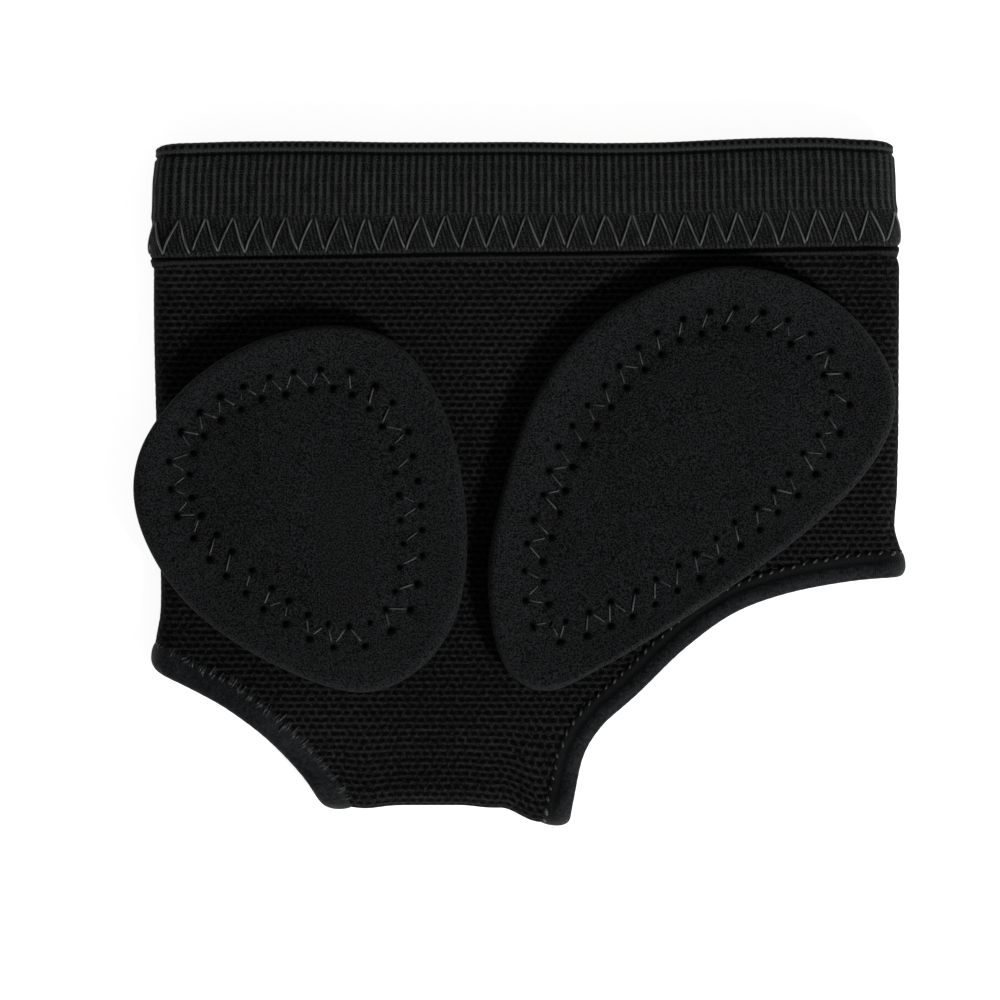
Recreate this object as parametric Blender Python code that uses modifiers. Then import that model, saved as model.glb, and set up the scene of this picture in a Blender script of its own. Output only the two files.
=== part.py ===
"""Dance foot pad: an elastic knitted sleeve that is worn round the ball of a bare foot.

The sleeve lies flat with its sole side up. A knitted front and back sheet run into each
other round two side folds and round the fold of the strap that goes between the toes. A
woven elastic band goes round the mouth, each toe opening has a rolled hem, and two foam
pads are sewn on the sole. Every size is in millimetres and is turned into metres when a
mesh is made. While the pieces are made, x = 0 is the middle of the sleeve, y = 0 the lower
edge of the band with the toes towards -Y, and z = 0 what it lies on.
"""
import bpy
import numpy as np

MM = 0.001


def table(columns, *rows):
    """A short table whose columns have names, one row to a line."""
    return np.array(list(rows), dtype=[(name, float) for name in columns.split()])


# Knitted sleeve
SLEEVE_WIDTH = 99.0         # flat, over the outside of both side folds
SLEEVE_WALL = 1.0           # one layer of the knit
SIDE_FOLD_RADIUS = 2.3      # middle of the wall, round each side fold
HOLLOW_HEIGHT = 5.5         # clear height inside, along the middle
MOUTH_HEIGHT = 4.8          # clear height inside, where the band holds the sleeve
LEFT_SIDE_LENGTH = 52.1     # band to the small opening, down the left fold
RIGHT_SIDE_LENGTH = 40.1    # band to the large opening, down the right fold
TUCK_LENGTH = 5.4           # how far the sleeve goes up inside the band
TUCK_SLOPE_LENGTH = 5.0     # length over which it narrows to fit inside the band

# Strap between the toes, part of the sleeve
STRAP_DEPTH = 73.8          # band to the outside of the strap's fold
STRAP_WIDTH = 25.4          # between the cut edges, at the fold
STRAP_SHIFT = -10.8         # middle of the strap from the middle of the sleeve
STRAP_FOLD_RADIUS = 2.6     # middle of the wall, round the fold
STRAP_TAPER = 9.5           # length over which the front comes down to the fold
STRAP_DROOP = 1.7           # how much lower the fold ends on its right
TOE_ARCH = 1.1              # rise of the front over the middle of each toe opening

# Elastic band
BAND_WIDTH = 14.7
BAND_THICKNESS = 1.1
BAND_PROUD = 0.5            # how far each side is meant to stand out past the sleeve
MOUTH_DROP = 0.7            # how much lower the front of the band is at its free edge

# Rolled hems of the two toe openings
HEM_WIDTH = 3.0
HEM_THICKNESS = 1.8

# Foam pads
PAD_THICKNESS = 3.2
PAD_EDGE_LIFT = 0.4         # how far the free border curls up, past what clears the hems
ROUND_PAD_WIDTH = 44.3
ROUND_PAD_LENGTH = 48.8
ROUND_PAD_OVERHANG = 2.8    # past the left side fold
ROUND_PAD_DROP = 9.9        # top of the pad below the band
PAD_SPACING = 2.8           # between the two pads
LONG_PAD_LENGTH = 56.5
LONG_PAD_INSET = 0.4        # inside the right side fold
LONG_PAD_DROP = 2.0

CLEARANCE = 0.3             # between pieces that touch

# Outline of the side folds: share of the side's length, width as shares of SLEEVE_WIDTH
SIDE_ROWS = table(
    "down left right",
    (0.00, 1.000, 1.000),
    (0.35, 0.999, 0.998),
    (0.60, 0.991, 0.995),
    (0.80, 0.981, 0.988),
    (0.92, 0.984, 0.990),
    (1.00, 0.995, 1.000),
)

# Cut edges of the toe openings: shares of the way from the side fold to the strap's fold
SMALL_CUT_ROWS = table(
    "across down",
    (0.000, 0.000),
    (0.277, 0.130),
    (0.476, 0.268),
    (0.685, 0.482),
    (0.884, 0.760),
    (1.000, 1.000),
)
LARGE_CUT_ROWS = table(
    "across down",
    (0.000, 0.000),
    (0.167, 0.020),
    (0.353, 0.065),
    (0.509, 0.155),
    (0.651, 0.305),
    (0.781, 0.465),
    (0.882, 0.590),
    (0.950, 0.715),
    (0.983, 0.870),
    (1.000, 1.000),
)

# Band: rise of its two edges as shares of BAND_WIDTH, from the left fold to the right one
BAND_EDGE_ROWS = table(
    "across top low",
    (-1.00, -0.030, -0.050),
    (-0.85, -0.008, -0.047),
    (-0.60, 0.007, -0.036),
    (-0.20, 0.000, -0.014),
    (0.20, -0.011, -0.004),
    (0.70, 0.034, 0.028),
    (0.88, 0.022, 0.038),
    (1.00, -0.015, 0.045),
)

# Band: its sides from the free edge to the sewn one, as shares of half its nominal width
BAND_SIDE_ROWS = table(
    "down left right",
    (0.00, 0.986, 0.974),
    (0.16, 0.990, 0.978),
    (0.32, 0.995, 0.981),
    (0.56, 0.997, 0.983),
    (0.72, 1.001, 0.991),
    (0.88, 1.006, 0.994),
    (1.00, 1.004, 0.992),
)

# Pad outlines: shares of half the pad's width and length, clockwise from the top
ROUND_PAD_OUTLINE = table(
    "across along",
    (0.20, 1.00),
    (0.60, 0.89),
    (0.88, 0.50),
    (1.00, -0.06),
    (0.95, -0.55),
    (0.72, -0.87),
    (0.34, -1.00),
    (-0.22, -0.82),
    (-0.70, -0.50),
    (-0.97, -0.08),
    (-0.97, 0.30),
    (-0.70, 0.66),
    (-0.28, 0.91),
)
LONG_PAD_OUTLINE = table(
    "across along",
    (0.22, 1.00),
    (0.62, 0.89),
    (0.90, 0.64),
    (1.00, 0.36),
    (0.88, 0.06),
    (0.55, -0.26),
    (0.04, -0.61),
    (-0.42, -0.88),
    (-0.72, -1.00),
    (-0.93, -0.86),
    (-1.00, -0.48),
    (-0.94, -0.10),
    (-0.79, 0.34),
    (-0.55, 0.67),
    (-0.20, 0.90),
)

# Section of a pad from the middle of its underside, round the rim, to the middle of its top:
# share of the outline's reach, and height as a share of PAD_THICKNESS
PAD_SECTION = table(
    "reach height",
    (0.40, 0.00),
    (0.76, 0.00),
    (0.93, 0.00),
    (0.985, 0.05),
    (1.00, 0.20),
    (1.00, 0.80),
    (0.985, 0.95),
    (0.95, 1.00),
    (0.84, 0.99),
    (0.76, 0.87),
    (0.68, 0.99),
    (0.40, 1.05),
)
PAD_SEAT_REACH = 0.76       # inside this reach the pad is sewn down on the sleeve

# How finely the pieces are divided
FOLD_STEPS = 3              # round a quarter of a side fold
FRONT_STEPS = 14            # between the side folds
TUCK_STEPS = 4
SIDE_STEPS = 7
CUT_STEPS = 11
STRAP_FOLD_STEPS = 3
BAND_STEPS = 6
HEM_STEPS = 20
HEM_SIDE_STEPS = 8
ROW_ARCH = 10.0             # bow of the rows of faces, so that none runs along a cut edge
PAD_STEPS = 52


def smoothstep(share):
    """Rises from 0 to 1 with no slope at either end."""
    share = np.clip(share, 0.0, 1.0)
    return share * share * (3.0 - 2.0 * share)


def curve_through(points, places, closed=False):
    """Smooth curve through points, read at places counted in points from the first one."""
    points = np.asarray(points, dtype=float)
    last = len(points) if closed else len(points) - 1
    start = np.clip(np.floor(places).astype(int), 0, last - 1)
    part = (np.asarray(places, dtype=float) - start)[:, None]
    if closed:
        before, here, after, beyond = (points[(start + step) % last] for step in (-1, 0, 1, 2))
    else:
        first, end = 2.0 * points[:1] - points[1:2], 2.0 * points[-1:] - points[-2:-1]
        padded = np.vstack((first, points, end))
        before, here, after, beyond = (padded[start + step] for step in (0, 1, 2, 3))
    slope = (after - before) / 2.0
    next_slope = (beyond - here) / 2.0
    rise = after - here
    return here + part * (slope + part * ((3.0 * rise - 2.0 * slope - next_slope)
                                          + part * (slope + next_slope - 2.0 * rise)))


def along_curve(points, shares, closed=False, fine=400):
    """The same curve, read at shares of its length."""
    last = len(points) if closed else len(points) - 1
    dense = curve_through(points, np.linspace(0.0, last, fine), closed)
    run = np.concatenate(([0.0], np.cumsum(np.linalg.norm(np.diff(dense, axis=0), axis=1))))
    wanted = np.asarray(shares) * run[-1]
    return np.column_stack([np.interp(wanted, run, dense[:, axis]) for axis in (0, 1)])


def read_table(rows, key, column, place):
    """One column of a table, read smoothly at a place along its key column."""
    position = np.interp(place, rows[key], np.arange(len(rows)))
    flat = np.ravel(position)
    values = curve_through(rows[column][:, None], flat)[:, 0]
    return values.reshape(np.shape(position))


def tuck(y):
    """1 where the sleeve is inside the band, 0 below the slope that leads into it."""
    low_edge = BAND_WIDTH * BAND_EDGE_ROWS["low"].min() - CLEARANCE
    return smoothstep((y - low_edge + TUCK_SLOPE_LENGTH) / TUCK_SLOPE_LENGTH)


def band_side(x, down):
    """Outside of the band at its side, from the middle of the sleeve."""
    left = read_table(BAND_SIDE_ROWS, "down", "left", down)
    right = read_table(BAND_SIDE_ROWS, "down", "right", down)
    return (SLEEVE_WIDTH / 2 + BAND_PROUD) * np.where(x < 0, left, right)


def half_width(x, y):
    """Middle of the wall at the side fold, from the middle of the sleeve."""
    left = read_table(SIDE_ROWS, "down", "left", -y / LEFT_SIDE_LENGTH)
    right = read_table(SIDE_ROWS, "down", "right", -y / RIGHT_SIDE_LENGTH)
    free = SLEEVE_WIDTH / 2 * np.where(x < 0, left, right)
    held = band_side(x, 1.0 - y / BAND_WIDTH) - BAND_THICKNESS - CLEARANCE
    return free + (held - free) * tuck(y) - SLEEVE_WALL / 2


def side_line(x, y):
    """Distance of the side fold's middle line in the flat pattern."""
    return half_width(x, y) + (np.pi / 2 - 1.0) * SIDE_FOLD_RADIUS


STRAP_START = -(STRAP_DEPTH - SLEEVE_WALL / 2 - STRAP_FOLD_RADIUS)
STRAP_LINE = STRAP_START - np.pi / 2 * STRAP_FOLD_RADIUS


def cut_points(rows, corner_y, side):
    """Points of a cut edge in the flat pattern, from the side fold to the strap's fold."""
    corner_x = side * side_line(side, corner_y)
    end_x = STRAP_SHIFT + side * STRAP_WIDTH / 2
    return np.column_stack((corner_x + (end_x - corner_x) * rows["across"],
                            corner_y + (STRAP_LINE - corner_y) * rows["down"]))


SMALL_CUT = cut_points(SMALL_CUT_ROWS, -LEFT_SIDE_LENGTH, -1.0)
LARGE_CUT = cut_points(LARGE_CUT_ROWS, -RIGHT_SIDE_LENGTH, 1.0)


def back_height(y):
    """Middle of the back sheet's wall: on the floor, or on the band inside the mouth."""
    return SLEEVE_WALL / 2 + tuck(y) * (BAND_THICKNESS + CLEARANCE)


def crown(across):
    """1 over most of the width, and down to 0 at the side folds."""
    return 1.0 - smoothstep(np.abs(across) ** 4)


def strap_taper(y):
    """0 over the sleeve, and up to 1 where the strap's fold begins."""
    return smoothstep((STRAP_START + STRAP_TAPER - y) / STRAP_TAPER)


def front_height(x, y):
    """Middle of the front sheet's wall."""
    back = back_height(y)
    hollow = HOLLOW_HEIGHT + tuck(y) * (MOUTH_HEIGHT - HOLLOW_HEIGHT)
    side = back + 2.0 * SIDE_FOLD_RADIUS
    middle = back + SLEEVE_WALL + hollow
    height = side + (middle - side) * crown(x / (half_width(x, y) - SIDE_FOLD_RADIUS))
    for cut in (SMALL_CUT, LARGE_CUT):
        centre = along_curve(cut, [0.5])[0]
        radius = np.hypot(*(cut[-1] - cut[0])) * 0.3
        away = ((x - centre[0]) ** 2 + (y - centre[1]) ** 2) / radius ** 2
        height = height + TOE_ARCH * np.exp(-away)
    fold_height = back + 2.0 * STRAP_FOLD_RADIUS
    return height + (fold_height - height) * strap_taper(y)


def strap_droop(x, y):
    """How far the right end of the strap's fold hangs below the rest of it."""
    across = (x - STRAP_SHIFT) / (STRAP_WIDTH / 2)
    return STRAP_DROOP * smoothstep((across - 0.3) / 0.7) * strap_taper(y)


def place(pattern, front):
    """Bend points of the flat pattern round the side folds and the strap's fold."""
    x, y = pattern[..., 0], pattern[..., 1]
    reach = half_width(x, y) - SIDE_FOLD_RADIUS
    side_angle = np.maximum(np.abs(x) - reach, 0.0) / SIDE_FOLD_RADIUS
    strap_angle = np.maximum(STRAP_START - y, 0.0) / STRAP_FOLD_RADIUS
    bent_x = np.sign(x) * (np.minimum(np.abs(x), reach) + SIDE_FOLD_RADIUS * np.sin(side_angle))
    bent_y = np.maximum(y, STRAP_START) - STRAP_FOLD_RADIUS * np.sin(strap_angle)
    back = back_height(bent_y)
    high = front_height(bent_x, np.maximum(bent_y, STRAP_START))
    half = (high - back) / 2.0 * np.cos(side_angle) * np.cos(strap_angle)
    height = (high + back) / 2.0 + (half if front else -half)
    return np.stack((bent_x, bent_y - strap_droop(bent_x, bent_y), height), axis=-1)


def mesh_object(name, points, faces, material, collection):
    """A mesh object from points in millimetres."""
    mesh = bpy.data.meshes.new(name)
    places = (np.reshape(points, (-1, 3)) * MM).tolist()
    mesh.from_pydata(places, [], np.asarray(faces, dtype=object).tolist())
    mesh.validate()
    mesh.shade_smooth()
    mesh.set_sharp_from_angle(angle=np.radians(50.0))
    mesh.materials.append(material)
    obj = bpy.data.objects.new(name, mesh)
    collection.objects.link(obj)
    return obj


def solidify(obj, thickness):
    """Give an open surface a wall, half on each side of it."""
    wall = obj.modifiers.new("wall", 'SOLIDIFY')
    wall.thickness = thickness * MM
    wall.offset = 0.0


def grid_faces(index, close_rows=False):
    """Quads of a grid of point numbers, joined to its first row if close_rows."""
    if close_rows:
        index = np.vstack((index, index[:1]))
    corners = (index[:-1, :-1], index[1:, :-1], index[1:, 1:], index[:-1, 1:])
    return np.stack(corners, axis=-1).reshape(-1, 4)


def pattern_rows():
    """The flat pattern of one sheet, as rows from the mouth to the strap's fold."""
    slope_end = BAND_WIDTH * BAND_EDGE_ROWS["low"].min() - CLEARANCE - TUCK_SLOPE_LENGTH
    heights = np.concatenate((np.linspace(TUCK_LENGTH, slope_end + TUCK_SLOPE_LENGTH, 3),
                              np.linspace(slope_end + TUCK_SLOPE_LENGTH, slope_end, TUCK_STEPS + 1)[1:]))
    down = np.linspace(0.0, 1.0, SIDE_STEPS + 1)[1:]
    left_y = np.concatenate((heights, slope_end + (-LEFT_SIDE_LENGTH - slope_end) * down))
    right_y = np.concatenate((heights, slope_end + (-RIGHT_SIDE_LENGTH - slope_end) * down))
    left = np.column_stack((-side_line(-1.0, left_y), left_y))
    right = np.column_stack((side_line(1.0, right_y), right_y))
    fold_share = np.pi / 2 * STRAP_FOLD_RADIUS / (STRAP_DEPTH - LEFT_SIDE_LENGTH)
    shares = np.concatenate((np.linspace(0.0, 1.0 - fold_share, CUT_STEPS + 1)[1:],
                             np.linspace(1.0 - fold_share, 1.0, STRAP_FOLD_STEPS + 1)[1:]))
    left = np.vstack((left, along_curve(SMALL_CUT, shares)))
    right = np.vstack((right, along_curve(LARGE_CUT, shares)))
    fold = np.pi / 2 * SIDE_FOLD_RADIUS / (right[0, 0] - left[0, 0])
    across = np.concatenate((np.linspace(0.0, fold, FOLD_STEPS + 1)[:-1],
                             np.linspace(fold, 1.0 - fold, FRONT_STEPS + 1),
                             np.linspace(1.0 - fold, 1.0, FOLD_STEPS + 1)[1:]))
    to_strap = np.maximum(0.0, 1.0 - shares / (1.0 - fold_share))
    arched = np.concatenate((np.zeros(len(heights)), down, to_strap))
    pattern = left[:, None] + (right - left)[:, None] * across[:, None]
    pattern[..., 1] += ROW_ARCH * arched[:, None] * 4.0 * across * (1.0 - across)
    return pattern, len(left_y)


def knitted_sleeve(material, collection):
    """Front and back sheets from one pattern, sharing the points of their three folds."""
    pattern, side_rows = pattern_rows()
    row_count, column_count = pattern.shape[:2]
    front = np.arange(row_count * column_count).reshape(row_count, column_count)
    back = front + front.size
    back[:side_rows, 0] = front[:side_rows, 0]
    back[:side_rows, -1] = front[:side_rows, -1]
    back[-1] = front[-1]
    points = np.concatenate((place(pattern, True), place(pattern, False))).reshape(-1, 3)
    faces = np.vstack((grid_faces(front), grid_faces(back)[:, ::-1]))
    used, numbers = np.unique(faces, return_inverse=True)
    obj = mesh_object("knitted_sleeve", points[used], numbers.reshape(faces.shape), material, collection)
    solidify(obj, SLEEVE_WALL)
    return obj


def elastic_band(material, collection):
    """A closed flat loop outside the sleeve's mouth."""
    grow = (SLEEVE_WALL + BAND_THICKNESS) / 2 + CLEARANCE
    radius = SIDE_FOLD_RADIUS + grow
    turn = np.linspace(0.0, np.pi / 2, FOLD_STEPS + 1)
    reach_share = np.linspace(-1.0, 1.0, FRONT_STEPS + 1)
    across = np.concatenate((np.full(FOLD_STEPS, -1.0), reach_share, np.full(FOLD_STEPS, 1.0)))
    angle = np.concatenate((-turn[:0:-1], np.zeros(FRONT_STEPS + 1), turn[1:]))
    down = np.linspace(0.0, 1.0, BAND_STEPS + 1)
    top = BAND_WIDTH * (1.0 + read_table(BAND_EDGE_ROWS, "across", "top", across))
    low = BAND_WIDTH * read_table(BAND_EDGE_ROWS, "across", "low", across)
    reach = band_side(across, down[:, None]) - BAND_THICKNESS / 2 - radius
    x = reach * across + radius * np.sin(angle)
    y = top + (low - top) * down[:, None]
    back = BAND_THICKNESS / 2
    side_top = back + 2.0 * radius
    middle = back + SLEEVE_WALL + MOUTH_HEIGHT + 2.0 * grow - MOUTH_DROP * (1.0 - smoothstep(2.0 * down))
    high = side_top + (middle[:, None] - side_top) * crown(across)
    half = (high - back) / 2.0 * np.cos(angle)
    front_points = np.stack((x, y, (high + back) / 2.0 + half), axis=-1)
    back_points = np.stack((x, y, (high + back) / 2.0 - half), axis=-1)[:, -2:0:-1]
    points = np.concatenate((front_points, back_points), axis=1).transpose(1, 0, 2)
    index = np.arange(points.shape[0] * points.shape[1]).reshape(points.shape[:2])
    faces = grid_faces(index, close_rows=True)[:, ::-1]
    obj = mesh_object("elastic_band", points, faces, material, collection)
    solidify(obj, BAND_THICKNESS)
    return obj


def hem_pattern(cut, side):
    """Middle line of a hem in the flat pattern, from the side fold to the strap's fold."""
    dense = along_curve(cut, np.linspace(0.0, 1.0, 200))
    step = np.gradient(dense, axis=0)
    outward = side * np.column_stack((-step[:, 1], step[:, 0])) / np.linalg.norm(step, axis=1)[:, None]
    line = dense + outward * (CLEARANCE + HEM_WIDTH / 2)
    before, after = line[0] - line[1], line[-1] - line[-2]
    line = np.vstack((line[0] + before / np.linalg.norm(before) * HEM_WIDTH,
                      line,
                      line[-1] + after / np.linalg.norm(after) * HEM_WIDTH))
    numbers = np.linspace(0.0, len(line) - 1.0, 4000)
    fine = np.column_stack([np.interp(numbers, np.arange(len(line)), line[:, axis]) for axis in (0, 1)])
    inside = (np.abs(fine[:, 0]) <= side_line(fine[:, 0], fine[:, 1])) & (fine[:, 1] >= STRAP_LINE)
    first, last = np.flatnonzero(inside)[[0, -1]]
    kept = fine[first:last + 1]
    kept[0, 0] = side * side_line(side, kept[0, 1])
    kept[-1, 1] = STRAP_LINE
    run = np.concatenate(([0.0], np.cumsum(np.linalg.norm(np.diff(kept, axis=0), axis=1))))
    even = np.linspace(0.0, 1.0, HEM_STEPS + 1)
    shares = even - 0.7 * np.sin(2.0 * np.pi * even) / (2.0 * np.pi)
    return np.column_stack([np.interp(shares * run[-1], run, kept[:, axis]) for axis in (0, 1)])


def sheet_normal(pattern, front):
    """Direction out of the sleeve, at points of the flat pattern."""
    tiny = 0.01
    by_x = place(pattern + [tiny, 0.0], front) - place(pattern - [tiny, 0.0], front)
    by_y = place(pattern + [0.0, tiny], front) - place(pattern - [0.0, tiny], front)
    normal = np.cross(by_x, by_y) * (1.0 if front else -1.0)
    return normal / np.linalg.norm(normal, axis=1)[:, None]


def toe_hem(name, cut, side, material, collection):
    """A closed oval roll along the cut edges of one toe opening."""
    pattern = hem_pattern(cut, side)
    centre = np.vstack((place(pattern, True), place(pattern[-2:0:-1], False)))
    normal = np.vstack((sheet_normal(pattern, True), sheet_normal(pattern[-2:0:-1], False)))
    centre[:, 2] = np.maximum(centre[:, 2], HEM_THICKNESS / 2)
    along = np.roll(centre, -1, axis=0) - np.roll(centre, 1, axis=0)
    sideways = np.cross(normal, along)
    sideways /= np.linalg.norm(sideways, axis=1)[:, None]
    turn = np.arange(HEM_SIDE_STEPS) * 2.0 * np.pi / HEM_SIDE_STEPS
    points = (centre[:, None]
              + sideways[:, None] * np.cos(turn)[:, None] * HEM_WIDTH / 2
              + normal[:, None] * np.sin(turn)[:, None] * HEM_THICKNESS / 2)
    index = np.arange(len(centre) * HEM_SIDE_STEPS).reshape(len(centre), HEM_SIDE_STEPS)
    faces = grid_faces(np.column_stack((index, index[:, 0])), close_rows=True)[:, ::-1]
    return mesh_object(name, points, faces, material, collection)


def foam_pad(name, outline, centre, size, material, collection):
    """A thick pad with a sewn-in groove and a free border, following the front sheet."""
    points = np.column_stack((outline["across"], outline["along"]))
    rim = along_curve(points, np.arange(PAD_STEPS) / PAD_STEPS, closed=True) * np.array(size) / 2
    reach = PAD_SECTION["reach"][:, None, None]
    plan = np.array(centre) + rim * reach
    clear_hem = (HEM_THICKNESS - SLEEVE_WALL) / 2
    border = smoothstep((PAD_SECTION["reach"] - PAD_SEAT_REACH) / (1.0 - PAD_SEAT_REACH))
    seat = front_height(plan[..., 0], plan[..., 1]) + SLEEVE_WALL / 2 + CLEARANCE
    height = seat + ((PAD_EDGE_LIFT + clear_hem) * border + PAD_THICKNESS * PAD_SECTION["height"])[:, None]
    rings = np.concatenate((plan, height[..., None]), axis=-1)
    middle = np.array([[centre[0], centre[1], rings[0, :, 2].mean()],
                       [centre[0], centre[1], rings[-1, :, 2].mean()]])
    index = np.arange(rings.shape[0] * PAD_STEPS).reshape(-1, PAD_STEPS)
    around = np.column_stack((index, index[:, 0]))
    under, over = index.size, index.size + 1
    faces = grid_faces(around).tolist()
    faces += [[under, a, b] for a, b in zip(around[0, :-1], around[0, 1:])]
    faces += [[over, b, a] for a, b in zip(around[-1, :-1], around[-1, 1:])]
    return mesh_object(name, np.vstack((rings.reshape(-1, 3), middle)), faces, material, collection)


def black_material(name, colour, roughness):
    """A Principled material, black as the photographed fabrics are."""
    material = bpy.data.materials.new(name)
    material.use_nodes = True
    shader = material.node_tree.nodes["Principled BSDF"]
    shader.inputs["Base Color"].default_value = (*colour, 1.0)
    shader.inputs["Roughness"].default_value = roughness
    shader.inputs["Metallic"].default_value = 0.0
    material.diffuse_color = (*colour, 1.0)
    return material


def box_of(pieces):
    """Lowest and highest corner of the finished pieces, in metres."""
    graph = bpy.context.evaluated_depsgraph_get()
    corners = []
    for piece in pieces:
        finished = piece.evaluated_get(graph)
        mesh = finished.to_mesh()
        flat = np.empty(len(mesh.vertices) * 3)
        mesh.vertices.foreach_get("co", flat)
        corners.append(flat.reshape(-1, 3))
        finished.to_mesh_clear()
    corners = np.vstack(corners)
    return corners.min(axis=0), corners.max(axis=0)


def main():
    for obj in list(bpy.data.objects):
        bpy.data.objects.remove(obj, do_unlink=True)
    collection = bpy.data.collections.new("dance_foot_pad")
    bpy.context.scene.collection.children.link(collection)
    knit = black_material("black_knit", (0.0061, 0.0070, 0.0070), 0.85)
    elastic = black_material("black_elastic", (0.0105, 0.0112, 0.0119), 0.75)
    hem = black_material("black_hem", (0.0070, 0.0078, 0.0085), 0.65)
    suede = black_material("black_suede_foam", (0.0070, 0.0075, 0.0082), 0.95)

    left_edge = -SLEEVE_WIDTH / 2 - ROUND_PAD_OVERHANG
    right_edge = SLEEVE_WIDTH / 2 - LONG_PAD_INSET
    long_pad_width = right_edge - left_edge - ROUND_PAD_WIDTH - PAD_SPACING
    pieces = [
        knitted_sleeve(knit, collection),
        elastic_band(elastic, collection),
        toe_hem("small_toe_hem", SMALL_CUT, -1.0, hem, collection),
        toe_hem("large_toe_hem", LARGE_CUT, 1.0, hem, collection),
        foam_pad("round_pad", ROUND_PAD_OUTLINE,
                 (left_edge + ROUND_PAD_WIDTH / 2, -ROUND_PAD_DROP - ROUND_PAD_LENGTH / 2),
                 (ROUND_PAD_WIDTH, ROUND_PAD_LENGTH), suede, collection),
        foam_pad("long_pad", LONG_PAD_OUTLINE,
                 (right_edge - long_pad_width / 2, -LONG_PAD_DROP - LONG_PAD_LENGTH / 2),
                 (long_pad_width, LONG_PAD_LENGTH), suede, collection),
    ]

    low, high = box_of(pieces)
    centre = bpy.data.objects.new("dance_foot_pad_centre", None)
    centre.location = (-(low[0] + high[0]) / 2, -(low[1] + high[1]) / 2, -low[2])
    collection.objects.link(centre)
    for piece in pieces:
        piece.parent = centre


main()
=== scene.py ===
# %% [markdown]
# # A dance foot pad in black knit and suede foam
#
# The object is a small sleeve that a dancer wears round the ball of a bare foot. It lies flat
# with its sole side up, and we look straight down on it. The hard part is that everything is
# black: the knit, the woven elastic, the rolled hems, the foam pads. Only relief, gloss and
# thread tell them apart, so each piece gets its relief as real geometry.
#
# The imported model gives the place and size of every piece. We load it first and keep its box.

# %% Load the frame
import bmesh
import bpy
import numpy as np
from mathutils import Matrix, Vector


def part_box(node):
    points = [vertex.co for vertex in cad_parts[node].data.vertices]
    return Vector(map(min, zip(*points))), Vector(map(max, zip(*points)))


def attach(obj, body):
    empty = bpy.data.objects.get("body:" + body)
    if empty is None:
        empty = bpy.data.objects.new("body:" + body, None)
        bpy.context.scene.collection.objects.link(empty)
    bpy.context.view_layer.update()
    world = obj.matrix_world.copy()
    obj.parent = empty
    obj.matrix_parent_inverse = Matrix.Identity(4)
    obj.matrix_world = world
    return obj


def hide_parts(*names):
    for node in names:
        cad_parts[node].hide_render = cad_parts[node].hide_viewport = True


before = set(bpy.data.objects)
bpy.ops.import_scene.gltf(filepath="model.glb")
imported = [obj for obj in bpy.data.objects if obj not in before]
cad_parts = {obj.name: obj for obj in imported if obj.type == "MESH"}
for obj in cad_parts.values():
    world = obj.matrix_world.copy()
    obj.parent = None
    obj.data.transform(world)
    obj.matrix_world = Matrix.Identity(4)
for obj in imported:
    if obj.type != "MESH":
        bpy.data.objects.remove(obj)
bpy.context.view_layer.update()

MM = 0.001

# %% [markdown]
# ## Camera
#
# The picture is taken from straight above, with so little perspective that the two selvedges
# of the band run parallel. A very long lens from far away does that. The picture is 133 mm wide,
# which puts 7.5 of its thousand pixels on a millimetre.

# %% Put the camera above the object
PICTURE_WIDTH = 133.33        # mm of the floor across the picture
PICTURE_CENTRE = (-2.35, -2.73)
LENS = 1500.0
SENSOR = 36.0


def straight_down_camera():
    """A camera at the height where the lens takes in exactly the picture's width."""
    data = bpy.data.cameras.new("camera")
    data.lens = LENS
    data.sensor_width = SENSOR
    height = PICTURE_WIDTH * MM * LENS / SENSOR
    data.clip_end = 100.0
    camera = bpy.data.objects.new("camera", data)
    camera.location = (PICTURE_CENTRE[0] * MM, PICTURE_CENTRE[1] * MM, height)
    bpy.context.scene.collection.objects.link(camera)
    bpy.context.scene.camera = camera
    return height


print("camera height", round(straight_down_camera(), 3), "m")

# %% [markdown]
# ## Floor and light
#
# The product lies on a white light table, so the floor glows a little by itself and stays
# nearly white in the object's shadow. One soft lamp stands at the lower right and low enough
# that each thick pad throws a narrow black shadow on the knit at its upper left. A pale sky
# fills the rest.

# %% Floor, sky and lamps
FLOOR_SIZE = 6.0
FLOOR_GLOW = 0.86
SKY_STRENGTH = 0.20
KEY_DIRECTION = (0.52, -0.52, 0.68)
KEY_DISTANCE = 1.4
KEY_SIZE = 0.25
KEY_POWER = 13.0


def floor_material():
    """White paint that also glows, so that shadows on it stay pale."""
    material = bpy.data.materials.new("light_table")
    material.use_nodes = True
    shader = material.node_tree.nodes["Principled BSDF"]
    shader.inputs["Base Color"].default_value = (0.86, 0.86, 0.855, 1.0)
    shader.inputs["Roughness"].default_value = 0.8
    shader.inputs["Specular IOR Level"].default_value = 0.1
    shader.inputs["Emission Color"].default_value = (1.0, 1.0, 0.995, 1.0)
    shader.inputs["Emission Strength"].default_value = FLOOR_GLOW
    return material


def light_table():
    """One large flat square at z = 0."""
    half = FLOOR_SIZE / 2
    mesh = bpy.data.meshes.new("light_table")
    mesh.from_pydata([(-half, -half, 0), (half, -half, 0), (half, half, 0), (-half, half, 0)],
                     [], [(0, 1, 2, 3)])
    mesh.materials.append(floor_material())
    floor = bpy.data.objects.new("light_table", mesh)
    bpy.context.scene.collection.objects.link(floor)


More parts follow.
